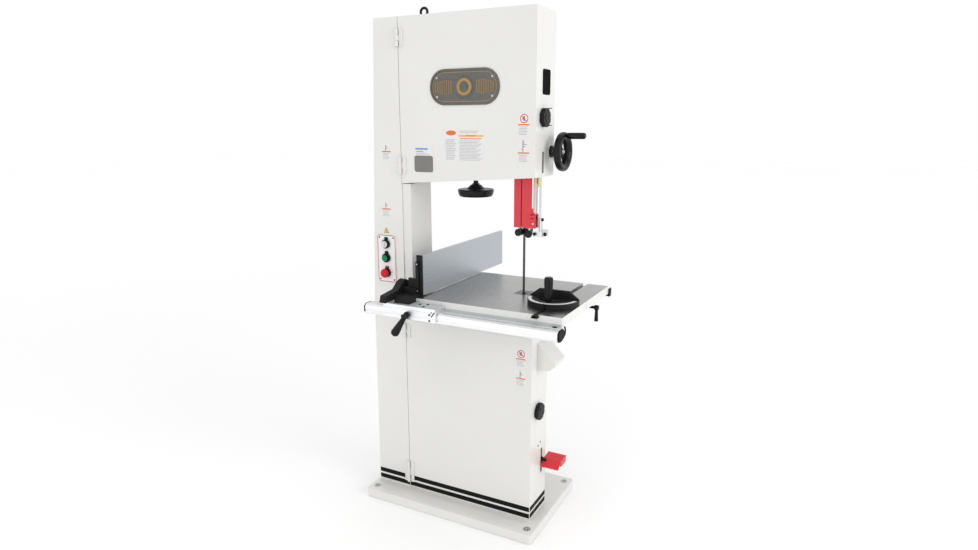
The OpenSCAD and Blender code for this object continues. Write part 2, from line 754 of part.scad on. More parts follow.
// Ribbed cast table with a miter slot, blade slit and arcs underneath
module table_top() {
    under = table_z - table_plate;
    rim_z = table_z - table_rim;
    rib = 12;
    color("slategray") difference() {
        union() {
            box([table_left, table_right], [table_front, table_back], [under, table_z]);
            difference() {
                box([table_left, table_right], [table_front, table_back], [rim_z, table_z - 1]);
                box([table_left + rib, table_right - rib], [table_front + rib, table_back - rib],
                    [rim_z - 1, table_z]);
            }
            for (x = [-60, 130]) box([x - 4, x + 4], [table_front + 1, table_back - 1],
                [rim_z + 3, table_z - 1]);
            for (y = [-180, 180]) box([table_left + 1, table_right - 1], [y - 4, y + 4],
                [rim_z + 3, table_z - 1]);
            for (y = ARC_Y) intersection() {
                rod_y(blade_x, y, table_z, arc_r);
                box([0, 600], y, [700, under + 1]);
            }
            // Lug of the tilt lever behind the rear arc
            box([300, 336], [tilt_y - 10, tilt_y + 10], [tilt_z - 12, under + 1]);
        }
        for (y = ARC_Y) rod_y(blade_x, [y[0] - 1, y[1] + 1], table_z - 62, 28);
        // Slot of the miter gauge, with its undercut
        box([slot_x - 9.7, slot_x + 9.7], [table_front - 1, table_back + 1], [table_z - 10, table_z + 1]);
        box([slot_x - 12, slot_x + 12], [table_front - 1, table_back + 1], [table_z - 10, table_z - 6.3]);
        // Blade opening, its ledge, and the slit that lets the blade in
        box(insert_x, insert_y, [table_z - 4, table_z + 1]);
        box([insert_x[0] + 6, insert_x[1] - 14], [insert_y[0] + 6, insert_y[1] - 6],
            [table_z - table_rim - 5, table_z]);
        box([insert_x[1] - 20, table_right + 1], [-26, -22], [table_z - table_rim - 5, table_z + 1]);
        // Clamp screw of the tilt lever
        rod_x([299, 337], tilt_y, tilt_z, 6 + run);
    }
}
module table_insert() {
    seat = table_z - 4;
    color("silver") difference() {
        box([insert_x[0] + gap, insert_x[1] - gap], [insert_y[0] + gap, insert_y[1] - gap], [seat, table_z]);
        box([blade_x - 5, blade_x + 8], [-42, -6], [seat - 1, table_z + 1]);
        box([blade_x + 7, insert_x[1] + 1], [-26, -22], [seat - 1, table_z + 1]);
    }
}
// Hollow extruded rail with end caps and the angles that hold it to the table
module front_rail() {
    wall = 3.5;
    color("silver") {
        difference() {
            box([rail_left, rail_right], RAIL_Y, RAIL_Z);
            box([rail_left - 1, rail_right + 1], [RAIL_Y[0] + wall, RAIL_Y[1] - wall],
                [RAIL_Z[0] + wall, RAIL_Z[1] - wall]);
        }
        for (x = [-120, 100, 320]) box([x - 20, x + 20], [RAIL_Y[1] - 1, RAIL_Y[1] + 26],
            [RAIL_Z[1] - 26, table_z - table_rim]);
    }
    color("black") for (x = [rail_left - 6, rail_right]) box([x, x + 6], RAIL_Y, RAIL_Z);
}
module rear_rail() {
    color("silver") box([table_left, table_right], [table_back, table_back + 6], [906, 936]);
    color("silver") box([table_left, table_right], [table_back, table_back + 24], [904, 908]);
    color("black") box([table_right, table_right + 6], [table_back, table_back + 24], [903, 937]);
}
// Cranked lever whose screw locks the table's arc
module tilt_lever() {
    lever_end = 509;
    color("black") {
        rod_x([290, lever_end], tilt_y, tilt_z, 6);
        rod_x([284, 290], tilt_y, tilt_z, 10);
        rod_x([lever_end - 8, lever_end + 8], tilt_y, tilt_z, 10);
        translate([lever_end, tilt_y, tilt_z - 56]) cylinder(h = 50, r1 = 8, r2 = 6);
    }
}

// Saddle that rides on the front rail
module fence_carriage() {
    top = 934;
    color("silver") difference() {
        union() {
            box(CARRIAGE_X, [-347, -281], [RAIL_Z[1] + gap, top]);
            box(CARRIAGE_X, [-347, RAIL_Y[0] - gap], [882, top]);
        }
        rod_y(grip_x, [-348, -330], grip_z, 5 + run);
    }
    // Black casting that carries the plate and the lever
    color("black") {
        box([-150, fence_x], [-330, -281], [top, 956]);
        box([-150, fence_x], [-330, -205], [950, 962]);
        box([-150, fence_x - 8], [-275, -205], [950, 984]);
        box([fence_x - 12, fence_x], [-262, -205], [950, table_z + 138]);
        box([fence_x - 12, fence_x + fence_t], [fence_y - 9, fence_y],
            [table_z + fence_gap, table_z + fence_gap + fence_h]);
        box([-130, fence_x - 7], [-262, -250], [960, 1020]);
        rod_x([-184, -149], lever_y, lever_z, 8);
    }
}
// Tall extruded fence plate
module fence_plate() {
    foot = table_z + fence_gap;
    color("silver") difference() {
        box([fence_x, fence_x + fence_t], [fence_y, fence_y + fence_len], [foot, foot + fence_h]);
        box([fence_x + 3, fence_x + 9], [fence_y - 1, fence_y + fence_len + 1],
            [foot + 6, foot + fence_h / 2 - 4]);
        box([fence_x + 3, fence_x + 9], [fence_y - 1, fence_y + fence_len + 1],
            [foot + fence_h / 2 + 4, foot + fence_h - 6]);
    }
}
// Lock lever left of the casting
module fence_lever() {
    width = [-180, -150.4];
    color("black") difference() {
        union() {
            slab_x(width) polygon([[-230, 966], [-220, 996], [-244, 1010], [-268, 1004],
                [-302, 978], [-378, 970], [-386, 944], [-296, 948]]);
            rod_x(width, lever_y, lever_z, 20);
        }
        rod_x([width[0] - 1, width[1] + 1], lever_y, lever_z, 8 + run);
    }
}
module fence_grip() {
    color("black") {
        rod_y(grip_x, [-372, -336], grip_z, 5);
        rod_y(grip_x, [-378, -347.4], grip_z, 9);
        translate([grip_x, -366, grip_z - 4]) rotate([0, 214, 0]) {
            cylinder(h = 80, r1 = 8, r2 = 16.5);
            translate([0, 0, 80]) sphere(16.5);
        }
    }
}

module miter_bar() {
    color("black") {
        box([slot_x - 9.5, slot_x + 9.5], [-298, 150], [table_z - 9.7, table_z - 0.5]);
        box([slot_x - 11.8, slot_x + 11.8], [-298, -283], [table_z - 9.7, table_z - 6.6]);
        rod_z(slot_x, miter_y, [table_z - 1, table_z + miter_h - 0.5], 6);
    }
}
// Half-round protractor head with a face plate and an arc slot
module miter_head() {
    base = table_z + 0.5;
    face_top = table_z + 52;
    r = 97;
    color("black") {
        translate([slot_x, miter_y, base]) linear_extrude(miter_h - 0.5) difference() {
            intersection() {
                circle(r, $fn = 128);
                translate([-r - 1, -r - 1]) square([2 * r + 2, r + 8]);
            }
            arc_slot(50, 6.5, 62);
            circle(6 + run);
        }
        // Face for the work, lower at its ends
        slab_y([miter_y + 7, miter_y + 17]) polygon([[slot_x - r, base], [slot_x + r, base],
            [slot_x + r, base + 23], [slot_x + 58, face_top], [slot_x - 60, face_top],
                [slot_x - r, base + 23]]);
    }
}
// Curved slot round the pivot, below the X axis
module arc_slot(radius, half_w, half_a) {
    polygon(concat(arc_points([0, 0], radius + half_w, -90 - half_a, -90 + half_a, 32),
        arc_points([0, 0], radius - half_w, -90 + half_a, -90 - half_a, 32)));
}
module miter_knob() {
    color("black") translate([slot_x, miter_knob_y, 0]) {
        translate([0, 0, table_z - 0.2]) cylinder(h = miter_h + 4, r = 5);
        translate([0, 0, table_z + miter_h + 0.3]) cylinder(h = 5, r = 12);
        translate([0, 0, table_z + miter_h + 4]) rotate_extrude() polygon([[0, 0], [13, 0], [14, 10],
            [16.5, 62], [16.5, 80], [13, 86], [0, 86]]);
    }
}

// Pedal, its arm through the slot, and the shoe inside the wheel's rim
module brake_pedal() {
    shoe_r = wheel_r - tyre_t - 18 - 8.7;
    shoe_a = -50;
    riser_y = [wheel_y + wheel_w / 2 + 2, wheel_y + wheel_w / 2 + 8];
    color("firebrick") {
        difference() {
            union() {
                rod_y(brake_x, [brake_y - 8.5, brake_y + 8.5], brake_z, 13);
                box([brake_x, 362], [brake_y - 5, brake_y + 5], [brake_z - 8, brake_z + 8]);
                slab_y([brake_y - 5, brake_y + 5]) polygon([[330, brake_z], [368, brake_z],
                    [368, brake_z + 20], [344, brake_z + 28], [330, brake_z + 8]]);
            }
            rod_y(brake_x, [brake_y - 30, brake_y + 30], brake_z, 6 + run);
        }
        // Tread that bends down at its front, with a lip at its right end
        slab_x([352, 430]) polygon([[34, brake_z + 24], [-22, brake_z + 19], [-56, brake_z + 3],
            [-58, brake_z - 2], [-22, brake_z + 13.5], [34, brake_z + 18.5]]);
        box([425, 430], [-20, 33], [brake_z - 3, brake_z + 20]);
    }
    color("black") {
        box([140, 156], [brake_y - 5, riser_y[1]], [brake_z - 8, brake_z + 8]);
        box([140, 156], riser_y, [brake_z - 8, 352]);
        translate([wheel_x, 0, lower_axis_z]) slab_y([wheel_y + 6, riser_y[1]]) intersection() {
            difference() {
                circle(shoe_r);
                circle(shoe_r - 26);
            }
            rotate(shoe_a) translate([100, -24]) square([120, 48]);
        }
    }
}

// A switch's stem in its collar, with the head in front
module switch_stem(z) {
    rod_y(-311, [front_y - 18, front_y + 16], z, 8);
}
module start_button() {
    color("green") {
        switch_stem(1064);
        rod_y(-311, [front_y - 22, front_y - 17], 1064, 13);
    }
}
module stop_button() {
    color("red") {
        switch_stem(1001);
        rod_y(-311, [front_y - 31, front_y - 18], 1001, 19);
    }
}
module key_switch() {
    color("silver") {
        switch_stem(1122);
        rod_y(-311, [front_y - 20, front_y - 14], 1122, 14);
        box([-314, -308], [front_y - 27, front_y - 19], [1110, 1134]);
    }
}

base_plate();
spine();
blade_run_cover();
upper_housing();
lower_housing();
dust_hood();
dust_port();
lifting_eye();
hinge_knuckles();
control_plate();
switch_bezels();
cable_gland();
blade();
tension_rails();
post_guide();
bearing_housing();
belt_cover();
motor();
drive_belt();
trunnion_cradles();
lower_guides();
brake_bracket();
upper_door();
lower_door();
upper_latch();
lower_latch();
tension_carriage();
tension_handwheel();
wheel_yoke();
tracking_knob();
upper_wheel();
upper_tyre();
lower_wheel();
lower_tyre();
drive_shaft();
motor_pulley();
guide_post();
blade_guard();
guide_bracket();
left_bearing();
right_bearing();
thrust_bearing();
crank_wheel();
crank_pinion();
table_top();
table_insert();
front_rail();
rear_rail();
tilt_lever();
fence_carriage();
fence_plate();
fence_lever();
fence_grip();
miter_bar();
miter_head();
miter_knob();
brake_pedal();
start_button();
stop_button();
key_switch();
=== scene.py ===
import bmesh
import bpy
import math
from mathutils import Matrix, Vector


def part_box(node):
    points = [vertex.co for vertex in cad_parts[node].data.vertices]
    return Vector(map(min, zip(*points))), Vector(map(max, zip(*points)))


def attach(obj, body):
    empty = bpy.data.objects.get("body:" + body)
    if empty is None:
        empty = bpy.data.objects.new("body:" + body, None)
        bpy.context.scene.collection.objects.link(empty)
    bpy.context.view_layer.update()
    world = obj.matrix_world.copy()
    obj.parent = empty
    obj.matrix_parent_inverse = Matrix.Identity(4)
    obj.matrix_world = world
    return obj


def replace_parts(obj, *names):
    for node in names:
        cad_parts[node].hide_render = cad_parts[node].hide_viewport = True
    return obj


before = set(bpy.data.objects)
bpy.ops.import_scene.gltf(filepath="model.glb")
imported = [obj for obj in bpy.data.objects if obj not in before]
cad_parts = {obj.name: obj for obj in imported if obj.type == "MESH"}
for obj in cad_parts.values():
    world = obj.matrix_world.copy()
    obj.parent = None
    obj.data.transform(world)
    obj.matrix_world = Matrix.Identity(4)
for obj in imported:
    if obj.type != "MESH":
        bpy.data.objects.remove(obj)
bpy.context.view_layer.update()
K = 0.001  # sizes below are millimetres; meshes are made in metres


class Box:
    """A node's box at rest, in millimetres."""

    def __init__(self, node):
        low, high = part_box(node)
        self.x0, self.y0, self.z0 = (c / K for c in low)
        self.x1, self.y1, self.z1 = (c / K for c in high)
        self.x, self.y, self.z = ((a + b) / 2 / K for a, b in zip(low, high))


# ---- materials ----

class Shader:
    """A material whose colour, roughness and relief come from procedural nodes."""

    def __init__(self, name, metallic=0.0, coat=0.0, specular=0.5):
        self.material = bpy.data.materials.new(name)
        self.material.use_nodes = True
        self.tree = self.material.node_tree
        self.bsdf = self.tree.nodes["Principled BSDF"]
        self.bsdf.inputs["Metallic"].default_value = metallic
        self.bsdf.inputs["Coat Weight"].default_value = coat
        self.bsdf.inputs["Coat Roughness"].default_value = 0.12
        self.bsdf.inputs["Specular IOR Level"].default_value = specular
        self.coords = self.add("ShaderNodeTexCoord").outputs["Object"]

    def add(self, kind, **inputs):
        node = self.tree.nodes.new(kind)
        for key, value in inputs.items():
            self.put(node.inputs[key.replace("_", " ")], value)
        return node

    def put(self, socket, value):
        if isinstance(value, bpy.types.NodeSocket):
            self.tree.links.new(value, socket)
        elif isinstance(value, tuple) and len(value) == 3 and socket.type == "RGBA":
            socket.default_value = (*value, 1.0)
        else:
            socket.default_value = value

    def noise(self, scale, stretch=(1, 1, 1), detail=3.0):
        """Noise from 0 to 1 with about scale features a metre, times stretch along each axis."""
        mapping = self.add("ShaderNodeMapping", Vector=self.coords, Scale=stretch)
        node = self.add("ShaderNodeTexNoise", Vector=mapping.outputs["Vector"], Scale=scale, Detail=detail)
        return node.outputs["Fac"]

    def spread(self, value, low, high, at=(0.3, 0.7)):
        """A value between two limits, as another one goes from at[0] to at[1]."""
        node = self.add("ShaderNodeMapRange", Value=value)
        node.inputs["From Min"].default_value, node.inputs["From Max"].default_value = at
        node.inputs["To Min"].default_value, node.inputs["To Max"].default_value = low, high
        return node.outputs["Result"]

    def mix(self, share, a, b):
        node = self.tree.nodes.new("ShaderNodeMix")
        node.data_type = "RGBA"
        self.put(node.inputs["Factor"], share)
        self.put(node.inputs[6], a)
        self.put(node.inputs[7], b)
        return node.outputs[2]

    def times(self, a, b):
        node = self.tree.nodes.new("ShaderNodeMath")
        node.operation = "MULTIPLY"
        self.put(node.inputs[0], a)
        self.put(node.inputs[1], b)
        return node.outputs[0]

    def edges(self, radius):
        """1 on edges that hands and work rub, 0 elsewhere."""
        bevel = self.add("ShaderNodeBevel", Radius=radius)
        bevel.samples = 4
        flat = self.add("ShaderNodeNewGeometry").outputs["Normal"]
        dot = self.tree.nodes.new("ShaderNodeVectorMath")
        dot.operation = "DOT_PRODUCT"
        self.put(dot.inputs[0], bevel.outputs["Normal"])
        self.put(dot.inputs[1], flat)
        return self.spread(dot.outputs["Value"], 1.0, 0.0, at=(0.82, 0.97))

    def finish(self, color, rough, height, distance):
        self.put(self.bsdf.inputs["Base Color"], color)
        self.put(self.bsdf.inputs["Roughness"], rough)
        bump = self.add("ShaderNodeBump", Height=height, Strength=0.6, Distance=distance)
        self.put(self.bsdf.inputs["Normal"], bump.outputs["Normal"])
        return self.material


def shade(color, factor):
    return tuple(c * factor for c in color)


def paint(name, color, rough=0.34, peel=420.0, coat=0.25):
    """Sprayed paint: slow colour drift, orange peel and thin rubbed edges."""
    s = Shader(name, coat=coat)
    drift = s.spread(s.noise(2.2, detail=4.0), 0.0, 1.0)
    tone = s.mix(drift, shade(color, 0.955), color)
    scuff = s.times(s.edges(0.0016), s.spread(s.noise(60.0), 0.0, 0.55, at=(0.45, 0.75)))
    tone = s.mix(scuff, tone, shade(color, 0.8))
    roughness = s.spread(s.noise(9.0), rough - 0.05, rough + 0.08)
    return s.finish(tone, roughness, s.noise(peel, detail=2.0), 0.00008)


def metal(name, color, rough=0.3, stretch=(1, 1, 1), grain=260.0, depth=0.00004, dark=0.9, patches=0.35,
          patch_size=5.0):
    """Bare metal with machining marks along the axis that stretch leaves short."""
    s = Shader(name, metallic=1.0)
    marks = s.noise(grain, stretch=stretch, detail=5.0)
    # Broad darker patches: stains on most metals. On the ground iron, with patches=0.75 and patch_size=2.6,
    # they are a painted reflection, a dark and light gradient across the table top.
    stains_and_painted_reflection = s.spread(s.noise(patch_size, detail=4.0), 0.0, 1.0)
    tone = s.mix(s.spread(marks, 0.0, 1.0), shade(color, dark), color)
    tone = s.mix(s.times(stains_and_painted_reflection, patches), tone, shade(color, 0.75))
    tone = s.mix(s.times(s.edges(0.0009), 0.6), tone, shade(color, 1.25))
    roughness = s.spread(marks, rough - 0.06, rough + 0.1)
    return s.finish(tone, roughness, marks, depth)


def moulded(name, color, rough=0.46, grain=1500.0, depth=0.00007, worn=0.25, coat=0.0, specular=0.2):
    """Moulded plastic, rubber or a coated casting: fine grain and polished edges."""
    s = Shader(name, coat=coat, specular=specular)
    mottle = s.spread(s.noise(14.0, detail=4.0), 0.0, 1.0)
    tone = s.mix(mottle, shade(color, 0.8), color)
    rub = s.times(s.edges(0.0012), worn)
    tone = s.mix(rub, tone, tuple(min(1.0, c * 1.5 + 0.02) for c in color))
    roughness = s.spread(s.noise(30.0), rough - 0.06, rough + 0.1)
    return s.finish(tone, roughness, s.noise(grain, detail=2.0), depth)


def ink(name, color, rough=0.5, specular=0.3):
    """Printed film: flat colour with a faint mottle."""
    s = Shader(name, specular=specular)
    tone = s.mix(s.spread(s.noise(90.0), 0.0, 1.0), shade(color, 0.93), color)
    return s.finish(tone, s.spread(s.noise(40.0), rough - 0.05, rough + 0.05), s.noise(900.0), 0.00002)


def pane(name, color, rough=0.08, specular=0.2):
    """Tinted plastic pane."""
    s = Shader(name, specular=specular)
    tone = s.mix(s.spread(s.noise(25.0), 0.0, 1.0), shade(color, 0.9), color)
    return s.finish(tone, s.spread(s.noise(18.0), rough, rough + 0.08), s.noise(60.0), 0.00005)


IVORY = (0.715, 0.71, 0.682)
M = {
    "ivory": paint("ivory_paint", IVORY),
    "red": paint("red_paint", (0.66, 0.014, 0.028), rough=0.38, coat=0.1),
    "dark_red": paint("dark_red_paint", (0.10, 0.002, 0.004), rough=0.5, coat=0.0),
    "motor": paint("motor_paint", (0.035, 0.038, 0.042), rough=0.42, peel=300.0),
    "black": moulded("black_plastic", (0.006, 0.006, 0.007)),
    "glossy": moulded("black_gloss", (0.005, 0.005, 0.006), rough=0.3, grain=500.0, depth=0.00003, coat=0.04),
    "casting": moulded("black_casting", (0.009, 0.009, 0.010), rough=0.5, grain=480.0, depth=0.0002),
    "rubber": moulded("black_rubber", (0.010, 0.010, 0.010), rough=0.7, grain=900.0, depth=0.0001, worn=0.1),
    # Ground iron: its large, strong darker patches are a painted reflection, a dark and light gradient across
    # the table top.
    "iron": metal("ground_iron", (0.425, 0.42, 0.415), rough=0.30, stretch=(1, 0.03, 1), grain=420.0,
                  depth=0.00002, dark=0.93, patches=0.75, patch_size=2.6),
    "plate": metal("insert_plate", (0.16, 0.16, 0.165), rough=0.4, grain=300.0),
    "wheel": metal("turned_iron", (0.33, 0.34, 0.35), rough=0.38, grain=120.0, depth=0.0001),
    "steel": metal("bright_steel", (0.72, 0.73, 0.74), rough=0.3, stretch=(1, 1, 0.05), patches=0.15),
    "zinc": metal("zinc_screw", (0.55, 0.56, 0.57), rough=0.34, grain=600.0),
    "pale": metal("bracket_zinc", (0.72, 0.73, 0.73), rough=0.42, grain=300.0, patches=0.15),
    "band": metal("band_steel", (0.045, 0.045, 0.05), rough=0.4, stretch=(1, 1, 0.04), grain=500.0),
    "alu_x": metal("anodised_along_x", (0.86, 0.865, 0.875), rough=0.42, stretch=(0.02, 1, 1), grain=700.0,
                   dark=0.96, patches=0.08, depth=0.00001),
    "alu_y": metal("anodised_along_y", (0.51, 0.545, 0.58), rough=0.4, stretch=(1, 0.02, 1), grain=500.0,
                   dark=0.93, patches=0.12, depth=0.00001),
    "pewter": metal("pewter", (0.15, 0.15, 0.145), rough=0.45, grain=150.0, depth=0.0002, patches=0.6,
                    patch_size=60.0),
    "copper": metal("copper_accent", (0.40, 0.25, 0.09), rough=0.42, grain=200.0),
    "chrome": metal("polished_chrome", (0.8, 0.8, 0.81), rough=0.14, grain=90.0, depth=0.00001),
    "white": paint("panel_white", (0.80, 0.80, 0.80), rough=0.4, coat=0.1),
    "film": ink("label_film", (0.74, 0.735, 0.725)),
    "ink_grey": ink("ink_grey", (0.50, 0.50, 0.525)),
    "ink_black": ink("ink_black", (0.02, 0.02, 0.02)),
    "ink_red": ink("ink_red", (0.60, 0.03, 0.06)),
    "ink_orange": ink("ink_orange", (0.70, 0.16, 0.03)),
    "ink_blue": ink("ink_blue", (0.10, 0.28, 0.60)),
    "ink_yellow": ink("ink_yellow", (0.78, 0.62, 0.03)),
    "ink_amber": ink("ink_amber", (0.80, 0.45, 0.12)),
    "stripe": ink("stripe_black", (0.010, 0.010, 0.010), rough=0.5, specular=0.06),
    "tape": ink("scale_tape", (0.46, 0.51, 0.515), rough=0.3),
    "green": moulded("green_button", (0.003, 0.20, 0.08), rough=0.28, grain=300.0, depth=0.00001, coat=0.1),
    "dark_green": moulded("green_cap", (0.004, 0.035, 0.02), rough=0.35, grain=300.0, depth=0.00001),
    "red_button": moulded("red_button", (0.60, 0.010, 0.02), rough=0.32, grain=300.0, depth=0.00001,
                          coat=0.1),
    "grey_pane": pane("grey_pane", (0.20, 0.195, 0.18), rough=0.3),
    "dark_pane": pane("dark_pane", (0.003, 0.003, 0.0035), rough=0.35, specular=0.01),
}


# ---- mesh building ----
# A place is a matrix from (u, v, n) millimetres to the shared frame in metres.

def place(origin, u, v):
    u, v = Vector(u), Vector(v)
    n = u.cross(v)
    turn = Matrix((u, v, n)).transposed().to_4x4()
    return Matrix.Translation(Vector(origin) * K) @ turn @ Matrix.Scale(K, 4)


def front(x, y, z):
    return place((x, y, z), (1, 0, 0), (0, 0, 1))


def back(x, y, z):
    return place((x, y, z), (-1, 0, 0), (0, 0, 1))


def right(x, y, z):
    return place((x, y, z), (0, 1, 0), (0, 0, 1))


def left(x, y, z):
    return place((x, y, z), (0, -1, 0), (0, 0, 1))


def up(x=0.0, y=0.0, z=0.0):
    return place((x, y, z), (1, 0, 0), (0, 1, 0))


def down(x, y, z):
    return place((x, y, z), (1, 0, 0), (0, -1, 0))


def arc(cu, cv, radius, start, end, steps):
    """Points round a centre, from one angle to another in degrees."""
    angles = [math.radians(start + (end - start) * i / steps) for i in range(steps + 1)]
    return [(cu + radius * math.cos(a), cv + radius * math.sin(a)) for a in angles]


def polar(radius, degrees):
    a = math.radians(degrees)
    return Vector((radius * math.cos(a), radius * math.sin(a)))


def circle(radius, steps=48):
    return arc(0.0, 0.0, radius, 0, 360, steps)[:-1]


def rounded(u0, v0, u1, v1, radius, steps=5):
    """A rectangle with round corners."""
    corners = ((u1 - radius, v0 + radius, -90), (u1 - radius, v1 - radius, 0),
               (u0 + radius, v1 - radius, 90), (u0 + radius, v0 + radius, 180))
    return [p for cu, cv, a in corners for p in arc(cu, cv, radius, a, a + 90, steps)]


def spline(a, b, c, d, t):
    """The point at t from b to c on a smooth curve through the four."""
    square = (2 * a - 5 * b + 4 * c - d) * t * t
    return 0.5 * (2 * b + (c - a) * t + square + (3 * b - a - 3 * c + d) * t ** 3)


def smooth_outline(points, steps=6):
    """A closed curve through the points."""
    out = []
    count = len(points)
    for i in range(count):
        near = [Vector(points[(i + k) % count]) for k in (-1, 0, 1, 2)]
        out += [tuple(spline(*near, j / steps)) for j in range(steps)]
    return out


def loft(bm, rings, index=0, closed=False):
    """Skin through rings of points in metres, capped unless it is closed."""
    verts = [[bm.verts.new(p) for p in ring] for ring in rings]
    pairs = list(zip(verts, verts[1:]))
    if closed:
        pairs.append((verts[-1], verts[0]))
    count = len(verts[0])
    faces = []
    for a, b in pairs:
        for i in range(count):
            j = (i + 1) % count
            faces.append(bm.faces.new((a[i], a[j], b[j], b[i])))
    if not closed:
        faces.append(bm.faces.new(list(reversed(verts[0]))))
        faces.append(bm.faces.new(verts[-1]))
    for face in faces:
        face.material_index = index


def at(where, outline, n):
    return [where @ Vector((u, v, n)) for u, v in outline]


def prism(bm, where, outline, low, high, index=0):
    loft(bm, [at(where, outline, low), at(where, outline, high)], index)


def block(bm, low, high):
    bar(bm, up(), low[0], low[1], high[0], high[1], low[2], high[2])


def bar(bm, where, u0, v0, u1, v1, low, high, index=0):
    prism(bm, where, [(u0, v0), (u1, v0), (u1, v1), (u0, v1)], low, high, index)


def lathe(bm, where, profile, index=0, steps=48):
    """A solid of revolution about n. The profile is (radius, height) pairs."""
    tiny = 0.002
    rings = [at(where, circle(max(r, tiny), steps), h) for r, h in profile]
    loft(bm, rings, index)


def hoop(bm, where, profile, index=0, steps=64):
    """A ring of revolution about n, from a closed section of (radius, height) pairs."""
    rings = []
    for i in range(steps):
        a = 2 * math.pi * i / steps
        rings.append([where @ Vector((r * math.cos(a), r * math.sin(a), h)) for r, h in profile])
    loft(bm, rings, index, closed=True)


def flat_ring(bm, where, inner, outer, low, high, index=0):
    hoop(bm, where, [(inner, low), (inner, high), (outer, high), (outer, low)], index)


def border(bm, where, outer, inner, low, high, index=0):
    """A flat frame between two outlines that have as many points."""
    rings = []
    for (ou, ov), (iu, iv) in zip(outer, inner):
        section = (ou, ov, low), (ou, ov, high), (iu, iv, high), (iu, iv, low)
        rings.append([where @ Vector(p) for p in section])
    loft(bm, rings, index, closed=True)


def tube(bm, points, radius, steps):
    """A round rod along points."""
    rings = []
    last = len(points) - 1
    for i, point in enumerate(points):
        ahead = (points[min(i + 1, last)] - points[max(i - 1, 0)]).normalized()
        across = (Vector((0, 1, 0)) - ahead * ahead.y).normalized()
        other = ahead.cross(across)
        rings.append([(point + across * u + other * v) * K for u, v in circle(radius, steps)])
    loft(bm, rings)


def bend(points, steps=8):
    """A smooth path through a few points."""
    out = []
    last = len(points) - 1
    for i in range(last):
        near = [Vector(points[k]) for k in (max(i - 1, 0), i, i + 1, min(i + 2, last))]
        out += [spline(*near, j / steps) for j in range(steps)]
    return out + [Vector(points[-1])]


def hexagon(radius):
    return circle(radius, 6)


def hex_bolt(bm, where, radius, head, index=0, washer=True):
    """A washer and a chamfered hexagon head."""
    base = 0.0
    if washer:
        lathe(bm, where, [(radius * 1.7, 0), (radius * 1.7, 1.2), (radius * 1.6, 1.6), (0, 1.6)], index, 32)
        base = 1.4
    prism(bm, where, hexagon(radius * 1.15), base, base + head * 0.85, index)
    top = base + head
    lathe(bm, where, [(radius * 1.12, base + head * 0.8), (radius * 0.9, top), (0, top)], index, 24)


def cap_screw(bm, where, radius, head, index=0):
    """A round head with a hexagon socket."""
    socket = radius * 0.5
    outer = circle(radius, 24)
    inner = circle(socket, 24)
    edge = [(u * 0.92, v * 0.92) for u, v in outer]
    levels = (outer, 0), (outer, 0.85), (edge, 1), (inner, 1), (inner, 0.4)
    loft(bm, [at(where, outline, head * share) for outline, share in levels], index)


def pan_screw(bm, where, radius, index=0):
    """A low domed head."""
    dome = [(radius, 0), (radius, 0.5), (radius * 0.82, radius * 0.42), (radius * 0.45, radius * 0.56),
            (0, radius * 0.6)]
    lathe(bm, where, dome, index, 24)


def piece(name, bm, body, materials, bevel=0.0, segments=2, angle=32.0, smooth=True):
    """Turns a mesh in progress into an object that rides on a body."""
    bmesh.ops.remove_doubles(bm, verts=bm.verts, dist=1e-6)
    bmesh.ops.dissolve_degenerate(bm, edges=bm.edges, dist=1e-7)
    bmesh.ops.recalc_face_normals(bm, faces=bm.faces)
    mesh = bpy.data.meshes.new(name)
    bm.to_mesh(mesh)
    bm.free()
    obj = bpy.data.objects.new(name, mesh)
    bpy.context.scene.collection.objects.link(obj)
    for key in materials.split():
        mesh.materials.append(M[key])
    if smooth:
        mesh.polygons.foreach_set("use_smooth", [True] * len(mesh.polygons))
        mesh.set_sharp_from_angle(angle=math.radians(angle))
    if bevel:
        soften(obj, bevel, segments, angle)
    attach(obj, body)
    return obj


def soften(obj, width, segments=2, angle=32.0):
    mod = obj.modifiers.new("edges", "BEVEL")
    mod.width = width * K
    mod.segments = segments
    mod.limit_method = "ANGLE"
    mod.angle_limit = math.radians(angle)
    mod.harden_normals = True
    mod.use_clamp_overlap = True


def dress(node, material, width=0.8, segments=2, angle=32.0):
    """Gives a CAD node its material and rounds its edges with modifiers."""
    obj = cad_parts[node]
    mesh = obj.data
    custom = mesh.attributes.get("custom_normal")
    if custom:
        mesh.attributes.remove(custom)
    mesh.materials.clear()
    mesh.materials.append(M[material])
    mesh.polygons.foreach_set("material_index", [0] * len(mesh.polygons))
    mesh.polygons.foreach_set("use_smooth", [True] * len(mesh.polygons))
    weld = obj.modifiers.new("weld", "WELD")
    weld.merge_threshold = 0.00001
    flat = obj.modifiers.new("flat", "DECIMATE")
    flat.decimate_type = "DISSOLVE"
    flat.angle_limit = math.radians(0.4)
    if width:
        soften(obj, width, segments, angle)
    return obj


def second_material(node, material, test):
    """Gives the faces whose centre and normal pass the test another material."""
    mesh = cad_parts[node].data
    mesh.materials.append(M[material])
    slot = len(mesh.materials) - 1
    for face in mesh.polygons:
        if test(face.center / K, face.normal):
            face.material_index = slot


# ---- datums, all read from the frame ----

FRONT = Box("spine").y0
UPPER_WALL = Box("upper_housing").x1
LOWER_WALL = Box("lower_housing").x1
SEAM = Box("upper_housing").y0
TOP = Box("spine").z1
HINGE = Box("lower_housing").x0
TABLE = Box("table_top")
TABLE_Z = TABLE.z1
RIM_Z = TABLE_Z - 33
UPPER = Box("upper_wheel")
PEDAL_Z = Box("brake_bracket").z1 - 14
LOWER = Box("lower_wheel")
MITER_Y = -115
MITER_TOP = TABLE_Z + 22
BADGE_X, BADGE_Z = 60.5, TOP - 264
LATCH_Z = {"upper_latch": TOP - 375, "lower_latch": 491}
GRIP_X, GRIP_Y, GRIP_Z = -80, -352, 900
CRANK_THROW = 58
SKIN = 0.4  # thickness of a label's film
# Height of each hinge's middle and its length, by door
HINGES = {"upper_door": ((TOP - 77, 64), (TOP - 556, 64)), "lower_door": ((760, 60), (115, 96))}


# ---- CAD nodes that keep their own shape ----

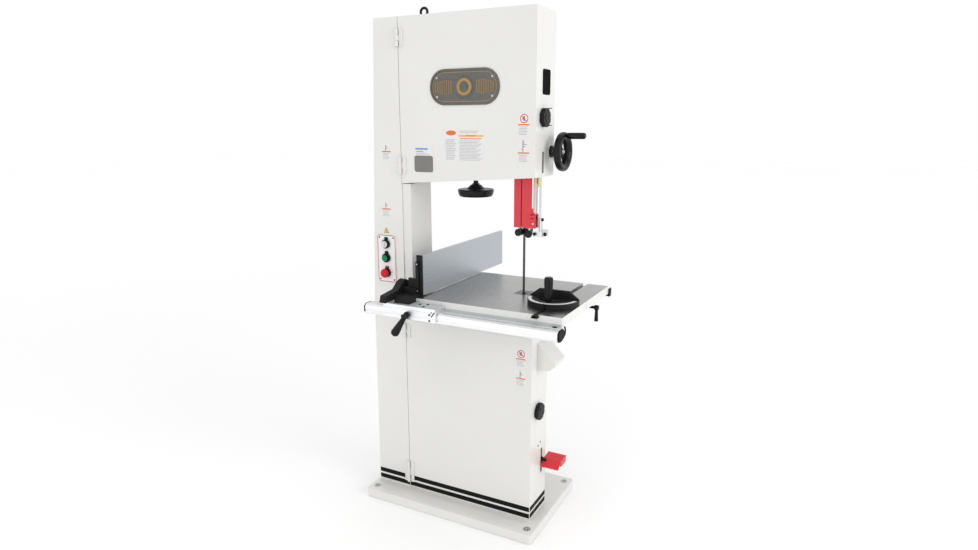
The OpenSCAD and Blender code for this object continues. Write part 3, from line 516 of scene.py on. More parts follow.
def dress_casework():
    for node in ("spine", "upper_housing", "lower_housing", "upper_door", "lower_door"):
        dress(node, "ivory", 2.2, 3)
    for node in ("base_plate", "blade_run_cover", "dust_hood", "dust_port", "belt_cover"):
        dress(node, "ivory", 1.4)
    dress("hinge_knuckles", "ivory", 0.7)
    dress("lifting_eye", "casting", 1.0)
    dress("control_plate", "white", 0.8)
    dress("switch_bezels", "glossy", 1.6, 3)
    dress("cable_gland", "black", 0.8)


def dress_running_gear():
    for node in ("post_guide", "bearing_housing", "trunnion_cradles", "lower_guides", "wheel_yoke",
                 "tension_carriage"):
        dress(node, "casting", 1.0)
    for node in ("tension_rails", "drive_shaft", "crank_pinion", "guide_post", "brake_bracket"):
        dress(node, "steel", 0.5)
    for node in ("upper_wheel", "lower_wheel", "motor_pulley"):
        dress(node, "wheel", 1.2)
    for node in ("upper_tyre", "lower_tyre", "drive_belt"):
        dress(node, "rubber", 1.0)
    dress("tracking_knob", "black", 2.0, 3)
    dress("motor", "motor", 2.0, 3)
    for node in ("left_bearing", "right_bearing", "thrust_bearing"):
        dress(node, "casting", 1.0)
    dress("brake_pedal", "red", 1.2, 3)
    second_material("brake_pedal", "black", lambda c, n: c.x < 351)
    nub = PEDAL_Z + 16
    second_material("brake_pedal", "black", lambda c, n: c.x < 369 and abs(c.y + 30) < 5.2 and c.z > nub)


def dress_guides():
    dress("blade_guard", "red", 0.8)
    dress("guide_bracket", "pale", 1.0)
    post = Box("guide_post")
    second_material("guide_bracket", "black", lambda c, n: c.x > post.x1 + 17.9)
    second_material("guide_bracket", "black", lambda c, n: c.x > post.x1 + 8.1 and c.z > post.z0 + 25)


def dress_table():
    dress("table_top", "ivory", 1.2, 3)
    second_material("table_top", "iron", lambda c, n: c.z > TABLE_Z - 11 and n.z > 0.5)
    slot = TABLE.x1 - 100
    second_material("table_top", "iron", lambda c, n: c.z > TABLE_Z - 10.5 and abs(c.x - slot) < 15)
    dress("table_insert", "plate", 0.5)
    dress("rear_rail", "alu_x", 0.8)
    second_material("rear_rail", "black", lambda c, n: c.x > TABLE.x1 - 0.01)
    dress("tilt_lever", "black", 1.5)
    dress("fence_carriage", "alu_x", 1.2, 3)
    top = Box("front_rail").z1 + 19.5
    second_material("fence_carriage", "casting", lambda c, n: c.z > top)
    dress("fence_lever", "casting", 3.0, 3)
    dress("fence_grip", "black", 2.5, 3)
    dress("miter_bar", "casting", 0.6)
    dress("miter_head", "casting", 1.6, 3)
    dress("miter_knob", "glossy", 2.0, 3)


def dress_controls():
    dress("start_button", "green", 2.0, 3)
    dress("key_switch", "chrome", 1.0)
    dress("upper_latch", "black", 2.4, 4)
    dress("lower_latch", "black", 2.4, 4)
    dress("tension_handwheel", "glossy", 1.0, 2)
    low = Box("upper_housing").z0 + 10
    second_material("tension_handwheel", "steel", lambda c, n: c.z > low)


# ---- running gear ----

def make_blade():
    """Toothed band round both wheels. The teeth point forwards and, on the cutting run, downwards."""
    b = Box("blade")
    thick = 0.9
    outer = (b.x1 - b.x0) / 2
    mid = outer - thick / 2
    high, low = b.z1 - outer, b.z0 + outer
    straight = high - low
    half = math.pi * mid
    length = 2 * straight + 2 * half
    pitch = length / round(length / 8)
    depth = 2.8

    def turn(z, angle):
        out = Vector((math.cos(angle), math.sin(angle)))
        return Vector((b.x + mid * out.x, z + mid * out.y)), out

    def path(s):
        """The point at s along the band's middle, and the way out from it."""
        if s < straight:
            return Vector((b.x + mid, high - s)), Vector((1, 0))
        s -= straight
        if s < half:
            return turn(low, -s / mid)
        s -= half
        if s < straight:
            return Vector((b.x - mid, low + s)), Vector((-1, 0))
        return turn(high, math.pi - (s - straight) / mid)

    bm = bmesh.new()
    rings = []
    for i in range(round(length / pitch)):
        for part, back_off in ((0.0, depth), (0.3, depth * 0.8), (0.92, 0.0)):
            p, n = path((i + part) * pitch)
            tip = b.y0 + back_off
            out, back_in = p + n * thick / 2, p - n * thick / 2
            ring = (out, tip), (out, b.y1), (back_in, b.y1), (back_in, tip)
            rings.append([Vector((q.x, y, q.y)) * K for q, y in ring])
    loft(bm, rings, closed=True)
    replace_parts(piece("band_blade", bm, "machine", "band", smooth=False), "blade")


def make_wheel_details():
    """A hub ring with six cap screws on each wheel."""
    for box, body in ((UPPER, "upper_wheel"), (LOWER, "lower_wheel")):
        bm = bmesh.new()
        where = front(box.x, box.y0, box.z)
        hoop(bm, where, [(24, 0), (24, 1.5), (27, 2.2), (32, 2.2), (33, 1.2), (33, 0)])
        for i in range(6):
            u, v = polar(28, 60 * i)
            cap_screw(bm, front(box.x + u, box.y0 - 2, box.z + v), 2.6, 2)
        piece(body + "_hub_ring", bm, body, "zinc")


def make_motor_details():
    m = Box("motor")
    bm = bmesh.new()
    axis_x, axis_z = Box("motor_pulley").x, Box("motor_pulley").z
    where = back(axis_x, m.y0, axis_z)
    for i in range(36):
        along, side = polar(1, 10 * i + 5), polar(1, 10 * i + 95)
        if along.y > 0.72:
            continue
        foot, tip = along * 73.5, along * 76.6
        prism(bm, where, [foot - side * 1.6, tip - side, tip + side, foot + side * 1.6], 14, 90)
    for radius in (16, 28, 40, 52):
        flat_ring(bm, where, radius - 3, radius + 3, m.y1 - m.y0 - 0.4, m.y1 - m.y0)
    piece("motor_fins", bm, "machine", "motor", bevel=0.4)
    bm = bmesh.new()
    lid = up(axis_x, m.y0 + 52, m.z1)
    prism(bm, lid, rounded(-36, -30, 36, 30, 5), -3, 0, 0)
    for su in (-1, 1):
        for sv in (-1, 1):
            pan_screw(bm, up(axis_x + su * 31, m.y0 + 52 + sv * 25, m.z1 - 1), 3, 1)
    for radius in (22, 34, 46):
        flat_ring(bm, where, radius - 2.2, radius + 2.2, 123.6, 124.0, 2)
    piece("motor_lid", bm, "machine", "motor zinc black")


# ---- casework details ----

def film(bm, where, u0, v0, u1, v1, index=0, radius=0.0, low=0.0, high=SKIN):
    outline = rounded(u0, v0, u1, v1, radius) if radius else [(u0, v0), (u1, v0), (u1, v1), (u0, v1)]
    prism(bm, where, outline, low, high, index)


def make_stripes():
    """Two dark bands round the foot of the machine."""
    foot = Box("base_plate").z1
    spine, wall = Box("spine"), Box("lower_housing")
    fixed, swung = bmesh.new(), bmesh.new()
    for low in (foot + 7, foot + 36):
        high = low + 20
        film(fixed, front(0, FRONT, 0), spine.x0 + 1.5, low, HINGE - 0.5, high)
        film(fixed, left(spine.x0 + 0.6, 0, 0), -spine.y1 + 1.5, low, -FRONT - 1.5, high, high=1.0)
        film(fixed, right(LOWER_WALL, 0, 0), SEAM + 0.5, low, wall.y1 - 1.5, high)
        film(swung, front(0, FRONT, 0), HINGE + 3.5, low, LOWER_WALL - 2.0, high)
        film(swung, right(LOWER_WALL, 0, 0), FRONT + 2.0, low, SEAM - 1.5, high)
    piece("stripes_fixed", fixed, "machine", "stripe")
    piece("stripes_door", swung, "lower_door", "stripe")


def make_badge():
    """Stadium-shaped plate with a rim, a toothed ring and ribs."""
    bm = bmesh.new()
    half_w, half_h = 146, 65
    where = front(BADGE_X, FRONT, BADGE_Z)

    def inset(by):
        return rounded(by - half_w, by - half_h, half_w - by, half_h - by, 62 - by, 12)

    prism(bm, where, inset(0), 0, 1.6)
    border(bm, where, inset(0), inset(7), 1.5, 3.6)
    border(bm, where, inset(12), inset(14), 1.5, 2.6, 1)
    teeth = 18
    tooth = (-6.2, 36), (-3.4, 42), (3.4, 42), (6.2, 36)
    gear = [polar(radius, 360 / teeth * i + turn) for i in range(teeth) for turn, radius in tooth]
    prism(bm, where, gear, 1.5, 3.2)
    hoop(bm, where, [(20, 3.1), (21, 4.2), (30, 4.2), (31, 3.1)], 1)
    lathe(bm, where, [(12, 3.1), (12, 4.4), (9, 5.2), (0, 5.4)], 0, 32)
    for side in (-1, 1):
        for i in range(8):
            u = side * (54 + i * 9.5)
            tall = 27 - abs(i - 2.5) * 2.2
            prism(bm, where, rounded(u - 2.6, -tall, u + 2.6, tall, 2.4), 1.5, 3.0, 1)
            prism(bm, where, rounded(u - 1.2, 3 - tall, u + 1.2, tall - 3, 1), 2.9, 3.3)
        for v in (-34, 34):
            screw = front(BADGE_X + side * 116, FRONT, BADGE_Z + v)
            lathe(bm, screw, [(4.5, 1.5), (4.2, 3), (2.6, 4.2), (0, 4.6)], 2, 20)
    piece("door_badge", bm, "upper_door", "pewter copper zinc", bevel=0.5)


def mark(bm, where, u0, v0, u1, v1, index, rise=0.06):
    """A print mark that stands just above the film of its label."""
    film(bm, where, u0, v0, u1, v1, index, low=SKIN, high=SKIN + rise)


LABEL_INKS = "film ink_grey ink_orange ink_red ink_black ink_yellow ink_blue ink_amber"
FILM, GREY, ORANGE, RED, BLACK, YELLOW, BLUE, AMBER = range(8)


def lines(bm, where, u0, v0, u1, v1, count, seed=1):
    """Grey bars of uneven length that stand for print."""
    step = (v1 - v0) / count
    for i in range(count):
        reach = 0.72 + 0.27 * (((i + seed) * 37) % 10) / 10
        v = v1 - (i + 0.5) * step
        mark(bm, where, u0, v - step * 0.24, u0 + (u1 - u0) * reach, v + step * 0.24, GREY)


def ring_sign(bm, where, radius):
    """A prohibition ring over a plain figure."""
    border(bm, where, circle(radius), circle(radius * 0.82), SKIN, SKIN + 0.08, RED)
    mark(bm, where, -radius * 0.12, -radius * 0.5, radius * 0.14, radius * 0.55, BLACK, 0.05)
    mark(bm, where, -radius * 0.5, -radius * 0.15, radius * 0.1, radius * 0.02, BLACK, 0.05)
    slash = where @ Matrix.Rotation(math.radians(-45), 4, "Z")
    mark(bm, slash, -radius * 0.85, -radius * 0.09, radius * 0.85, radius * 0.09, RED, 0.1)


def figure_sign(bm, where, w, h):
    """A plain upright with a few strokes beside it."""
    mark(bm, where, -w * 0.03, -h / 2, w * 0.02, h / 2, BLACK, 0.05)
    for v, reach in ((0.1, 0.32), (-0.08, 0.22), (0.25, 0.14)):
        mark(bm, where, 0, h * v, w * reach, h * (v + 0.035), BLACK, 0.05)
    mark(bm, where, -w * 0.2, -h * 0.3, -w * 0.03, -h * 0.26, GREY, 0.05)


def triangle_sign(bm, where, size):
    for wide, foot, top, low, high, index in ((0.55, 0.46, 0.5, 0, SKIN, BLACK),
                                              (0.44, 0.39, 0.38, SKIN, SKIN + 0.06, YELLOW)):
        outline = [(-size * wide, -size * foot), (size * wide, -size * foot), (0, size * top)]
        prism(bm, where, outline, low, high, index)
    mark(bm, where, -size * 0.05, -size * 0.25, size * 0.05, size * 0.15, BLACK, 0.1)


def caution_pair(bm, where, w, sign_h, text_h, sign):
    """A sign, a thin orange bar and a few grey lines, from the top down. The origin is the bar's left end."""
    film(bm, where, -2, -text_h - 3, w + 2, sign_h + 8, FILM, 2)
    if sign == "ring":
        ring_sign(bm, where @ Matrix.Translation((w * 0.52, sign_h / 2 + 6, 0)), sign_h / 2)
    else:
        figure_sign(bm, where @ Matrix.Translation((w * 0.45, sign_h / 2 + 4, 0)), w, sign_h)
    mark(bm, where, 1, -1.5, w - 1, 3.2, ORANGE)
    lines(bm, where, 4, -text_h, w - 4, -4, max(2, round(text_h / 6)))


def make_labels():
    bm = bmesh.new()
    wide = front(-26, FRONT, TOP - 536)
    film(bm, wide, 0, 0, 178, 120, FILM, 2)
    lines(bm, wide, 4, 6, 52, 84, 12, 2)
    lines(bm, wide, 64, 4, 164, 80, 14, 5)
    lines(bm, wide, 64, 104, 150, 116, 2, 4)
    mark(bm, wide, 60, 92, 166, 99, AMBER)
    mark(bm, wide, 90, 94, 134, 97.5, ORANGE, 0.1)
    mark(bm, wide, 66, 84, 158, 87, ORANGE, 0.04)
    oval = [(6, 106), (14, 99), (28, 97), (42, 99), (50, 106), (42, 113), (28, 115), (14, 113)]
    prism(bm, wide, smooth_outline(oval), SKIN, SKIN + 0.08, ORANGE)
    caution_pair(bm, front(279, FRONT, TOP - 401), 46, 32, 36, "ring")
    caution_pair(bm, front(279, FRONT, TOP - 500), 46, 44, 32, "figure")
    blue = front(-163, FRONT, TOP - 514)
    film(bm, blue, 0, -6, 84, 30, FILM, 2)
    mark(bm, blue, 3, 20, 60, 26, BLUE)
    mark(bm, blue, 6, 11, 40, 14, BLUE)
    lines(bm, blue, 6, -3, 74, 9, 2, 3)
    piece("upper_door_labels", bm, "upper_door", LABEL_INKS, smooth=False)
    bm = bmesh.new()
    caution_pair(bm, front(279, FRONT, 719), 43, 32, 30, "ring")
    caution_pair(bm, front(279, FRONT, 640), 43, 26, 30, "figure")
    piece("lower_door_labels", bm, "lower_door", LABEL_INKS, smooth=False)
    bm = bmesh.new()
    caution_pair(bm, front(-320, FRONT, TOP - 505), 44, 22, 30, "figure")
    caution_pair(bm, front(-329, FRONT, TOP - 735), 44, 22, 30, "figure")
    panel = Box("control_plate")
    triangle_sign(bm, front(panel.x, FRONT, panel.z1 + 18), 24)
    piece("column_labels", bm, "machine", LABEL_INKS, smooth=False)


def make_panel_details():
    panel = Box("control_plate")
    where = front(0, panel.y0, 0)
    bm = bmesh.new()
    outer = rounded(panel.x0 + 1.5, panel.z0 + 1.5, panel.x1 - 1.5, panel.z1 - 1.5, 9)
    inner = rounded(panel.x0 + 4.5, panel.z0 + 4.5, panel.x1 - 4.5, panel.z1 - 4.5, 6)
    border(bm, where, outer, inner, 0, 0.25, 1)
    for x in (panel.x0 + 12, panel.x1 - 12):
        for z in (panel.z0 + 12, panel.z1 - 12):
            pan_screw(bm, front(x, panel.y0, z), 3.4, 0)
    for button in ("key_switch", "start_button", "stop_button"):
        box = Box(button)
        red = 1 if button == "stop_button" else 0
        prism(bm, front(box.x, panel.y0, box.z), rounded(-9, 15, 9, 28, 3), 0, 1.6, 0)
        prism(bm, front(box.x, panel.y0, box.z), rounded(-7, 21, 7, 26, 2), 1.5, 1.9, red)
    piece("panel_trim", bm, "machine", "glossy ink_red", bevel=0.3)


def make_panes():
    wall = right(UPPER_WALL, 0, 0)
    bm = bmesh.new()
    prism(bm, front(0, FRONT, 0), rounded(-165, TOP - 580, -80, TOP - 517, 9), 0, 0.8)
    piece("door_window", bm, "upper_door", "grey_pane", bevel=0.3)
    bm = bmesh.new()
    prism(bm, wall, rounded(-89, TOP - 295, -17, TOP - 206, 10), 0, 1.0)
    piece("side_window", bm, "machine", "dark_pane", bevel=0.3)
    bm = bmesh.new()
    for z in (TOP - 402, TOP - 341):
        prism(bm, wall, rounded(-31, z - 1.6, 4, z + 1.6, 1.2), 0, SKIN)
    for i in range(13):
        reach = 9 if i % 3 == 0 else 5
        film(bm, wall, -70, TOP - 568 + i * 5.5, -70 + reach, TOP - 567.2 + i * 5.5)
    border(bm, wall, rounded(-81, TOP - 573, -69.5, TOP - 497, 3),
           rounded(-78, TOP - 570, -72, TOP - 500, 0.5), 0, 0.8)
    piece("side_marks", bm, "machine", "ink_black")


def make_fasteners():
    """Washers on the base, screws in the hinges, and nuts and screws on covers."""
    bm = bmesh.new()
    base = Box("base_plate")
    for su in (-1, 1):
        for sv in (-1, 1):
            where = up(su * (base.x1 - 31), sv * (base.y1 - 35), base.z1)
            hoop(bm, where, [(7.6, 0), (7.6, 2), (8.2, 2.4), (13.4, 2.4), (14, 1.8), (14, 0)])
    for z, length in HINGES["upper_door"] + HINGES["lower_door"]:
        for side in (-1, 0, 1):
            pan_screw(bm, front(HINGE - 16, FRONT - 4, z + side * length * 0.36), 2.2, 1)
    cover = Box("belt_cover")
    for dx, dz in ((-78, 380), (95, 380), (-75, 100), (150, 60)):
        pan_screw(bm, back(cover.x + dx * 0.8, cover.y1, cover.z0 + dz), 4)
    port = Box("dust_port")
    for i in range(4):
        u, v = polar(58, 45 + 90 * i)
        hex_bolt(bm, back(port.x + u, port.y0 + 4, port.z + v), 3, 3, washer=False)
    for x, z in ((-200, TOP - 60), (-200, TOP - 560), (320, TOP - 60), (320, TOP - 540)):
        hex_bolt(bm, back(x, Box("upper_housing").y1, z), 5, 4)
    piece("fasteners", bm, "machine", "zinc ivory")
    for body, heights in HINGES.items():
        bm = bmesh.new()
        for z, length in heights:
            for side in (-1, 0, 1):
                pan_screw(bm, front(HINGE + 17, FRONT - 4, z + side * length * 0.36), 2.8)
        piece(body + "_screws", bm, body, "ivory")


def make_latch_caps():
    for node in LATCH_Z:
        box = Box(node)
        bm = bmesh.new()
        where = right(box.x1, box.y, LATCH_Z[node])
        hoop(bm, where, [(10, 0), (10.5, 1.4), (13, 1.8), (15, 1.4), (15.5, 0)])
        lathe(bm, where, [(8, -0.5), (8, 0.4), (6, 0.9), (0, 1.0)], 0, 32)
        piece(node + "_cap", bm, node, "glossy")


def make_stop_button():
    """Mushroom head on a stem."""
    box = Box("stop_button")
    bm = bmesh.new()
    profile = [(0, -16), (8, -16), (8, 18), (14.5, 18), (17.6, 18.8), (19, 21), (19, 24), (17.6, 27.4),
               (13.5, 29.8), (7, 30.8), (0, 31)]
    lathe(bm, front(box.x, box.y0 + 31, box.z), profile)
    head = piece("stop_mushroom", bm, "stop_button", "red_button", angle=50.0)
    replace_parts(head, "stop_button")


# ---- handwheels ----

def make_crank():
    """Deep dished wheel with three broad spokes, a short hub and a plain grip."""
    box, pinion = Box("crank_wheel"), Box("crank_pinion")
    grip_out = 83
    radius = (box.y1 - box.y0) / 2
    face = box.x1 - grip_out
    bm = bmesh.new()
    where = right(face, box.y, pinion.z)
    rim = [(0, 2), (2, 7), (7, 9.6), (14, 9.8), (21, 7), (27, 1), (30, -6), (31, -15), (27, -19), (18, -19),
           (8, -17), (2, -13), (0, -7)]
    hoop(bm, where, [(radius - inward, h) for inward, h in rim], steps=96)
    for angle in (90, 210, 330):
        turned = where @ Matrix.Rotation(math.radians(angle), 4, "Z")
        outline = [(8, -11), (20, -10), (radius - 27, -17), (radius - 27, 17), (20, 10), (8, 11)]
        prism(bm, turned, outline, -18, -10)
    root = box.x0 - face
    lathe(bm, where, [(0, root), (16, root), (16, -30), (17, -20), (18, -12), (14, -6), (9, -4), (0, -4)])
    piece("crank_dish", bm, "crank", "glossy", bevel=1.2, segments=3)
    bm = bmesh.new()
    grip = right(face, box.y, pinion.z + CRANK_THROW)
    lathe(bm, grip, [(0, -4), (7, -4), (7, 11), (10, 12), (11.5, 15), (11.8, 26), (11.8, 74), (10.5, 80),
                     (7, 82.6), (0, 83)])
    piece("crank_grip", bm, "crank", "glossy")
    bm = bmesh.new()
    hex_bolt(bm, right(face - 4, box.y, pinion.z), 5, 4)
    whole = piece("crank_nut", bm, "crank", "zinc")
    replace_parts(whole, "crank_wheel")


def make_tension_ribs():
    """Flutes on the hub and a bead round the rim of the tension handwheel."""
    box = Box("tension_handwheel")
    where = up(box.x, box.y, 0)
    bm = bmesh.new()
    base = box.z0
    for i in range(16):
        turned = where @ Matrix.Rotation(math.radians(22.5 * i), 4, "Z")
        outline = [(21, -1.4), (36, -2.4), (36, 2.4), (21, 1.4)]
        high = [turned @ Vector((u, v, base + (44 if u < 30 else 31))) for u, v in outline]
        loft(bm, [at(turned, outline, base + 28), high])
    hoop(bm, where, [(43, base + 27), (44, base + 29.5), (48, base + 29.5), (49, base + 27)], steps=64)
    piece("tension_flutes", bm, "tension_handwheel", "glossy", bevel=0.6)


# ---- blade guides ----

def make_guard_details():
    guard, post = Box("blade_guard"), Box("guide_post")
    where = front(0, guard.y0, 0)
    slit = Box("thrust_bearing").x + 2.3
    bm = bmesh.new()
    # A dark red sheet just behind the slit in the guard's front: painted shade, standing for the shaded
    # inside of the guard seen through the slit.
    bar(bm, where, slit - 9, guard.z0 + 4, slit + 9, guard.z0 + 190, -3.4, -2.4)
    piece("guard_slit_painted_shade", bm, "guide_post", "dark_red")
    bm = bmesh.new()
    bar(bm, where, guard.x1 - 14, guard.z0 + 0.5, post.x0 + 17, guard.z0 + 54, 0, 1.6)
    bar(bm, where, guard.x1 - 14, guard.z0 + 54, guard.x1 + 0.2, guard.z0 + 60, 0, 1.6)
    for z in (guard.z0 + 36, guard.z0 + 50):
        bar(bm, where, guard.x1 - 6, z, guard.x1 + 9, z + 4, 1.5, 2.1, 1)
    cap_screw(bm, front(guard.x1 + 6, guard.y0 - 1.4, guard.z0 + 18), 4, 2.4, 2)
    piece("guard_foot", bm, "guide_post", "red dark_red zinc", bevel=0.5)
    bm = bmesh.new()
    face = front(0, post.y0, 0)
    film(bm, face, post.x0 + 1, post.z0 + 70, post.x0 + 13, post.z1 - 200, 0)
    film(bm, face, post.x0 + 14, post.z0 + 40, post.x0 + 16.5, post.z1 - 200, 1)
    film(bm, face, post.x0 + 13, post.z0 + 168, post.x1 - 1, post.z0 + 210, 2, low=SKIN, high=SKIN + 0.2)
    film(bm, face, post.x0 + 14, post.z0 + 178, post.x0 + 17, post.z0 + 200, 3, low=SKIN, high=SKIN + 0.3)
    piece("post_strips", bm, "guide_post", "film dark_red ink_yellow ink_black")
    bm = bmesh.new()
    for i in range(30):
        z = post.z0 + 40 + i * 10
        reach = 10 if i % 5 == 0 else 6
        film(bm, right(post.x1, 0, 0), post.y0 + 2, z, post.y0 + reach, z + 0.8, 0, high=0.15)
    piece("post_scale", bm, "guide_post", "ink_black")


def make_guide_discs():
    """Setting knobs in front of the bearings, and the face of each bearing."""
    for node, offset, drop in (("left_bearing", -3, 0), ("right_bearing", 11, 4)):
        box = Box(node)
        bm = bmesh.new()
        where = front(box.x, box.y0, box.z)
        lathe(bm, where, [(12.6, -0.5), (12.6, 0.6), (11.4, 1.0), (8, 1.0), (7, 0.4), (0, 0.4)], 0, 40)
        piece(node + "_face", bm, node, "black", bevel=0.3)
        bm = bmesh.new()
        knob = front(box.x + offset, box.y0 - 4, box.z - drop)
        lathe(bm, knob, [(0, 0), (4, 0), (4, 4), (13.5, 4.5), (14.2, 6), (14.2, 13), (12.8, 15), (9, 15),
                         (8, 14), (0, 14)], 0, 48)
        lathe(bm, knob, [(7.4, 13.6), (7.4, 14.8), (5, 15.6), (0, 15.8)], 1, 32)
        arm = up(0, 0, box.z)
        bar(bm, arm, box.x + offset - 4, box.y0 - 5, box.x + offset + 4, box.y1 + 22, 14, 18, 2)
        bar(bm, arm, box.x + offset - 4, box.y0 - 5, box.x + offset + 4, box.y0 - 1, -2, 18, 2)
        piece(node + "_knob", bm, "guide_post", "glossy dark_green pale", bevel=0.8)
    bracket = Box("guide_bracket")
    bm = bmesh.new()
    where = front(bracket.x1 - 42, bracket.y0, bracket.z0 + 12)
    lathe(bm, where, [(6.5, 0), (6.5, 6), (5.5, 8), (0, 8.4)], 0, 32)
    piece("bracket_knob", bm, "guide_post", "dark_green")


# ---- table, rail and fence ----

def make_front_rail():
    box = Box("front_rail")
    cap = 6
    y0, y1, z0, z1 = box.y0, box.y1 - 26, box.z0, box.z0 + 41.6
    profile = [(y1, z0), (y0 + 10, z0), (y0 + 3, z0 + 3), (y0, z0 + 9), (y0, z0 + 14), (y0 + 1.6, z0 + 15),
               (y0 + 1.6, z0 + 17), (y0, z0 + 18), (y0, z1 - 12), (y0 + 3, z1 - 5), (y0 + 11, z1),
               (y1 - 24, z1), (y1 - 24, z1 - 2.2), (y1 - 21, z1 - 2.2), (y1 - 21, z1), (y1, z1)]
    bm = bmesh.new()
    length = box.x1 - box.x0 - 2 * cap
    prism(bm, right(box.x0 + cap, 0, 0), profile, 0, length)
    for x in (-120, 100, 320):
        block(bm, (x - 20, y1 - 1, z1 - 26), (x + 20, y1 + 26, RIM_Z))
    rail = piece("rail_extrusion", bm, "table", "alu_x", bevel=0.8)
    bm = bmesh.new()
    cap_outline = [(y1 - 4, z0 + 8), (y1 - 22, z0), (y0 + 12, z0), (y0, z0 + 11), (y0, z1 - 10),
                   (y0 + 12, z1), (y1 - 12, z1), (y1, z1 - 12)]
    for x in (box.x0, box.x1 - cap):
        prism(bm, right(x, 0, 0), cap_outline, 0, cap)
    prism(bm, up(box.x1 - 34, y1 - 10, z1), rounded(-9, -4, 9, 4, 3.8), 0, 2.4)
    hook = [(box.x1 - 3, y1 + y, z1 + z) for y, z in ((6, 3), (13, -12), (10, -25), (-8, -36))]
    tube(bm, bend(hook), 2.9, steps=12)
    piece("rail_caps", bm, "table", "stripe", bevel=1.5, segments=3)
    bm = bmesh.new()
    block(bm, (TABLE.x0 + 3, y1 - 1.4, z1), (TABLE.x1 - 3, y1 - 0.1, z1 + 9))
    piece("rail_flange", bm, "table", "tape", bevel=0.3)
    bm = bmesh.new()
    tape = up(0, 0, z1)
    film(bm, tape, 60, y0 + 13, box.x1 - cap - 2, y0 + 27, 0, high=0.12)
    for i in range(90):
        x = 62 + i * 5
        if x < box.x1 - cap - 4:
            film(bm, tape, x, y0 + 13.5, x + 0.7, y0 + (20 if i % 10 == 0 else 16.5), 1, low=0.12, high=0.16)
    piece("rail_tape", bm, "table", "tape ink_black", smooth=False)
    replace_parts(rail, "front_rail")


def make_table_details():
    bm = bmesh.new()
    insert = Box("table_insert")
    for x in (insert.x0 + 6, insert.x1 - 6):
        for y in (insert.y0 + 6, insert.y1 - 6):
            lathe(bm, up(x, y, TABLE_Z - 0.1), [(2.6, 0), (2.6, 0.15), (0, 0.15)], 0, 20)
    for x in (-120, 60, 240, 420):
        hex_bolt(bm, back(x, TABLE.y1 + 6, RIM_Z + 7), 3.6, 3)
    piece("table_screws", bm, "table", "zinc")


def make_fence_plate():
    box = Box("fence_plate")
    length = box.y1 - box.y0
    where = front(0, box.y0, 0)
    outline = [(box.x0, box.z0), (box.x1, box.z0)]
    count = 9
    for i in range(1, count):
        z = box.z0 + (box.z1 - box.z0) * i / count
        deep, wide = 0.5, 0.7
        outline += [(box.x1, z - wide), (box.x1 - deep, z - wide * 0.7), (box.x1 - deep, z + wide * 0.7),
                    (box.x1, z + wide)]
    outline += [(box.x1, box.z1), (box.x0, box.z1)]
    for i in range(count - 1, 0, -1):
        z = box.z0 + (box.z1 - box.z0) * i / count
        outline += [(box.x0, z + 0.8), (box.x0 + 0.7, z + 0.56), (box.x0 + 0.7, z - 0.56), (box.x0, z - 0.8)]
    bm = bmesh.new()
    prism(bm, where, outline, -length, 0)
    plate = piece("fence_extrusion", bm, "fence", "alu_y", bevel=0.3)
    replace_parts(plate, "fence_plate")
    bm = bmesh.new()
    for z in (box.z0 + 26, box.z1 - 26):
        cap_screw(bm, left(box.x0 - 12, box.y0 + 14, z), 5, 4)
        pan_screw(bm, front(box.x0 - 6, -262, z - 8), 3)
    piece("fence_plate_screws", bm, "fence", "zinc")


def make_carriage_details():
    box = Box("fence_carriage")
    top = Box("front_rail").z0 + 61
    face = front(0, box.y0, 0)
    bm = bmesh.new()
    film(bm, up(0, 0, top), box.x0 + 3, box.y0 + 10, box.x1 - 3, box.y0 + 63, 3, high=0.2)
    for y in (box.y0 + 5, box.y0 + 7.5):
        film(bm, up(0, 0, top), box.x0 + 2, y, box.x1 - 2, y + 0.8, 4, high=0.1)
    for z in (896, 918):
        film(bm, face, box.x0 + 2, z, box.x1 - 2, z + 0.8, 4, high=0.1)
    for x, y in ((-19, box.y0 + 48), (-17, box.y0 + 16), (-48, box.y0 + 38)):
        cap_screw(bm, up(x, y, top), 4.4, 2.6, 1)
    for z in (888, 911):
        cap_screw(bm, front(17, box.y0, z), 3.6, 2.4, 1)
    prism(bm, face, [(24, 905), (27, 903), (41, 921), (38, 924)], 0, 1.6, 1)
    prism(bm, face, [(25, 917), (29, 922), (27, 924), (23, 919)], 0, 1.6, 1)
    piece("carriage_trim", bm, "fence", "zinc black ink_red tape ink_grey", bevel=0.2)
    bm = bmesh.new()
    hoop(bm, front(GRIP_X, GRIP_Y, GRIP_Z), [(6, 0), (6, 5), (10.5, 6), (12.5, 4), (12.5, 0)])
    piece("grip_collar", bm, "fence_grip", "glossy", bevel=0.5)


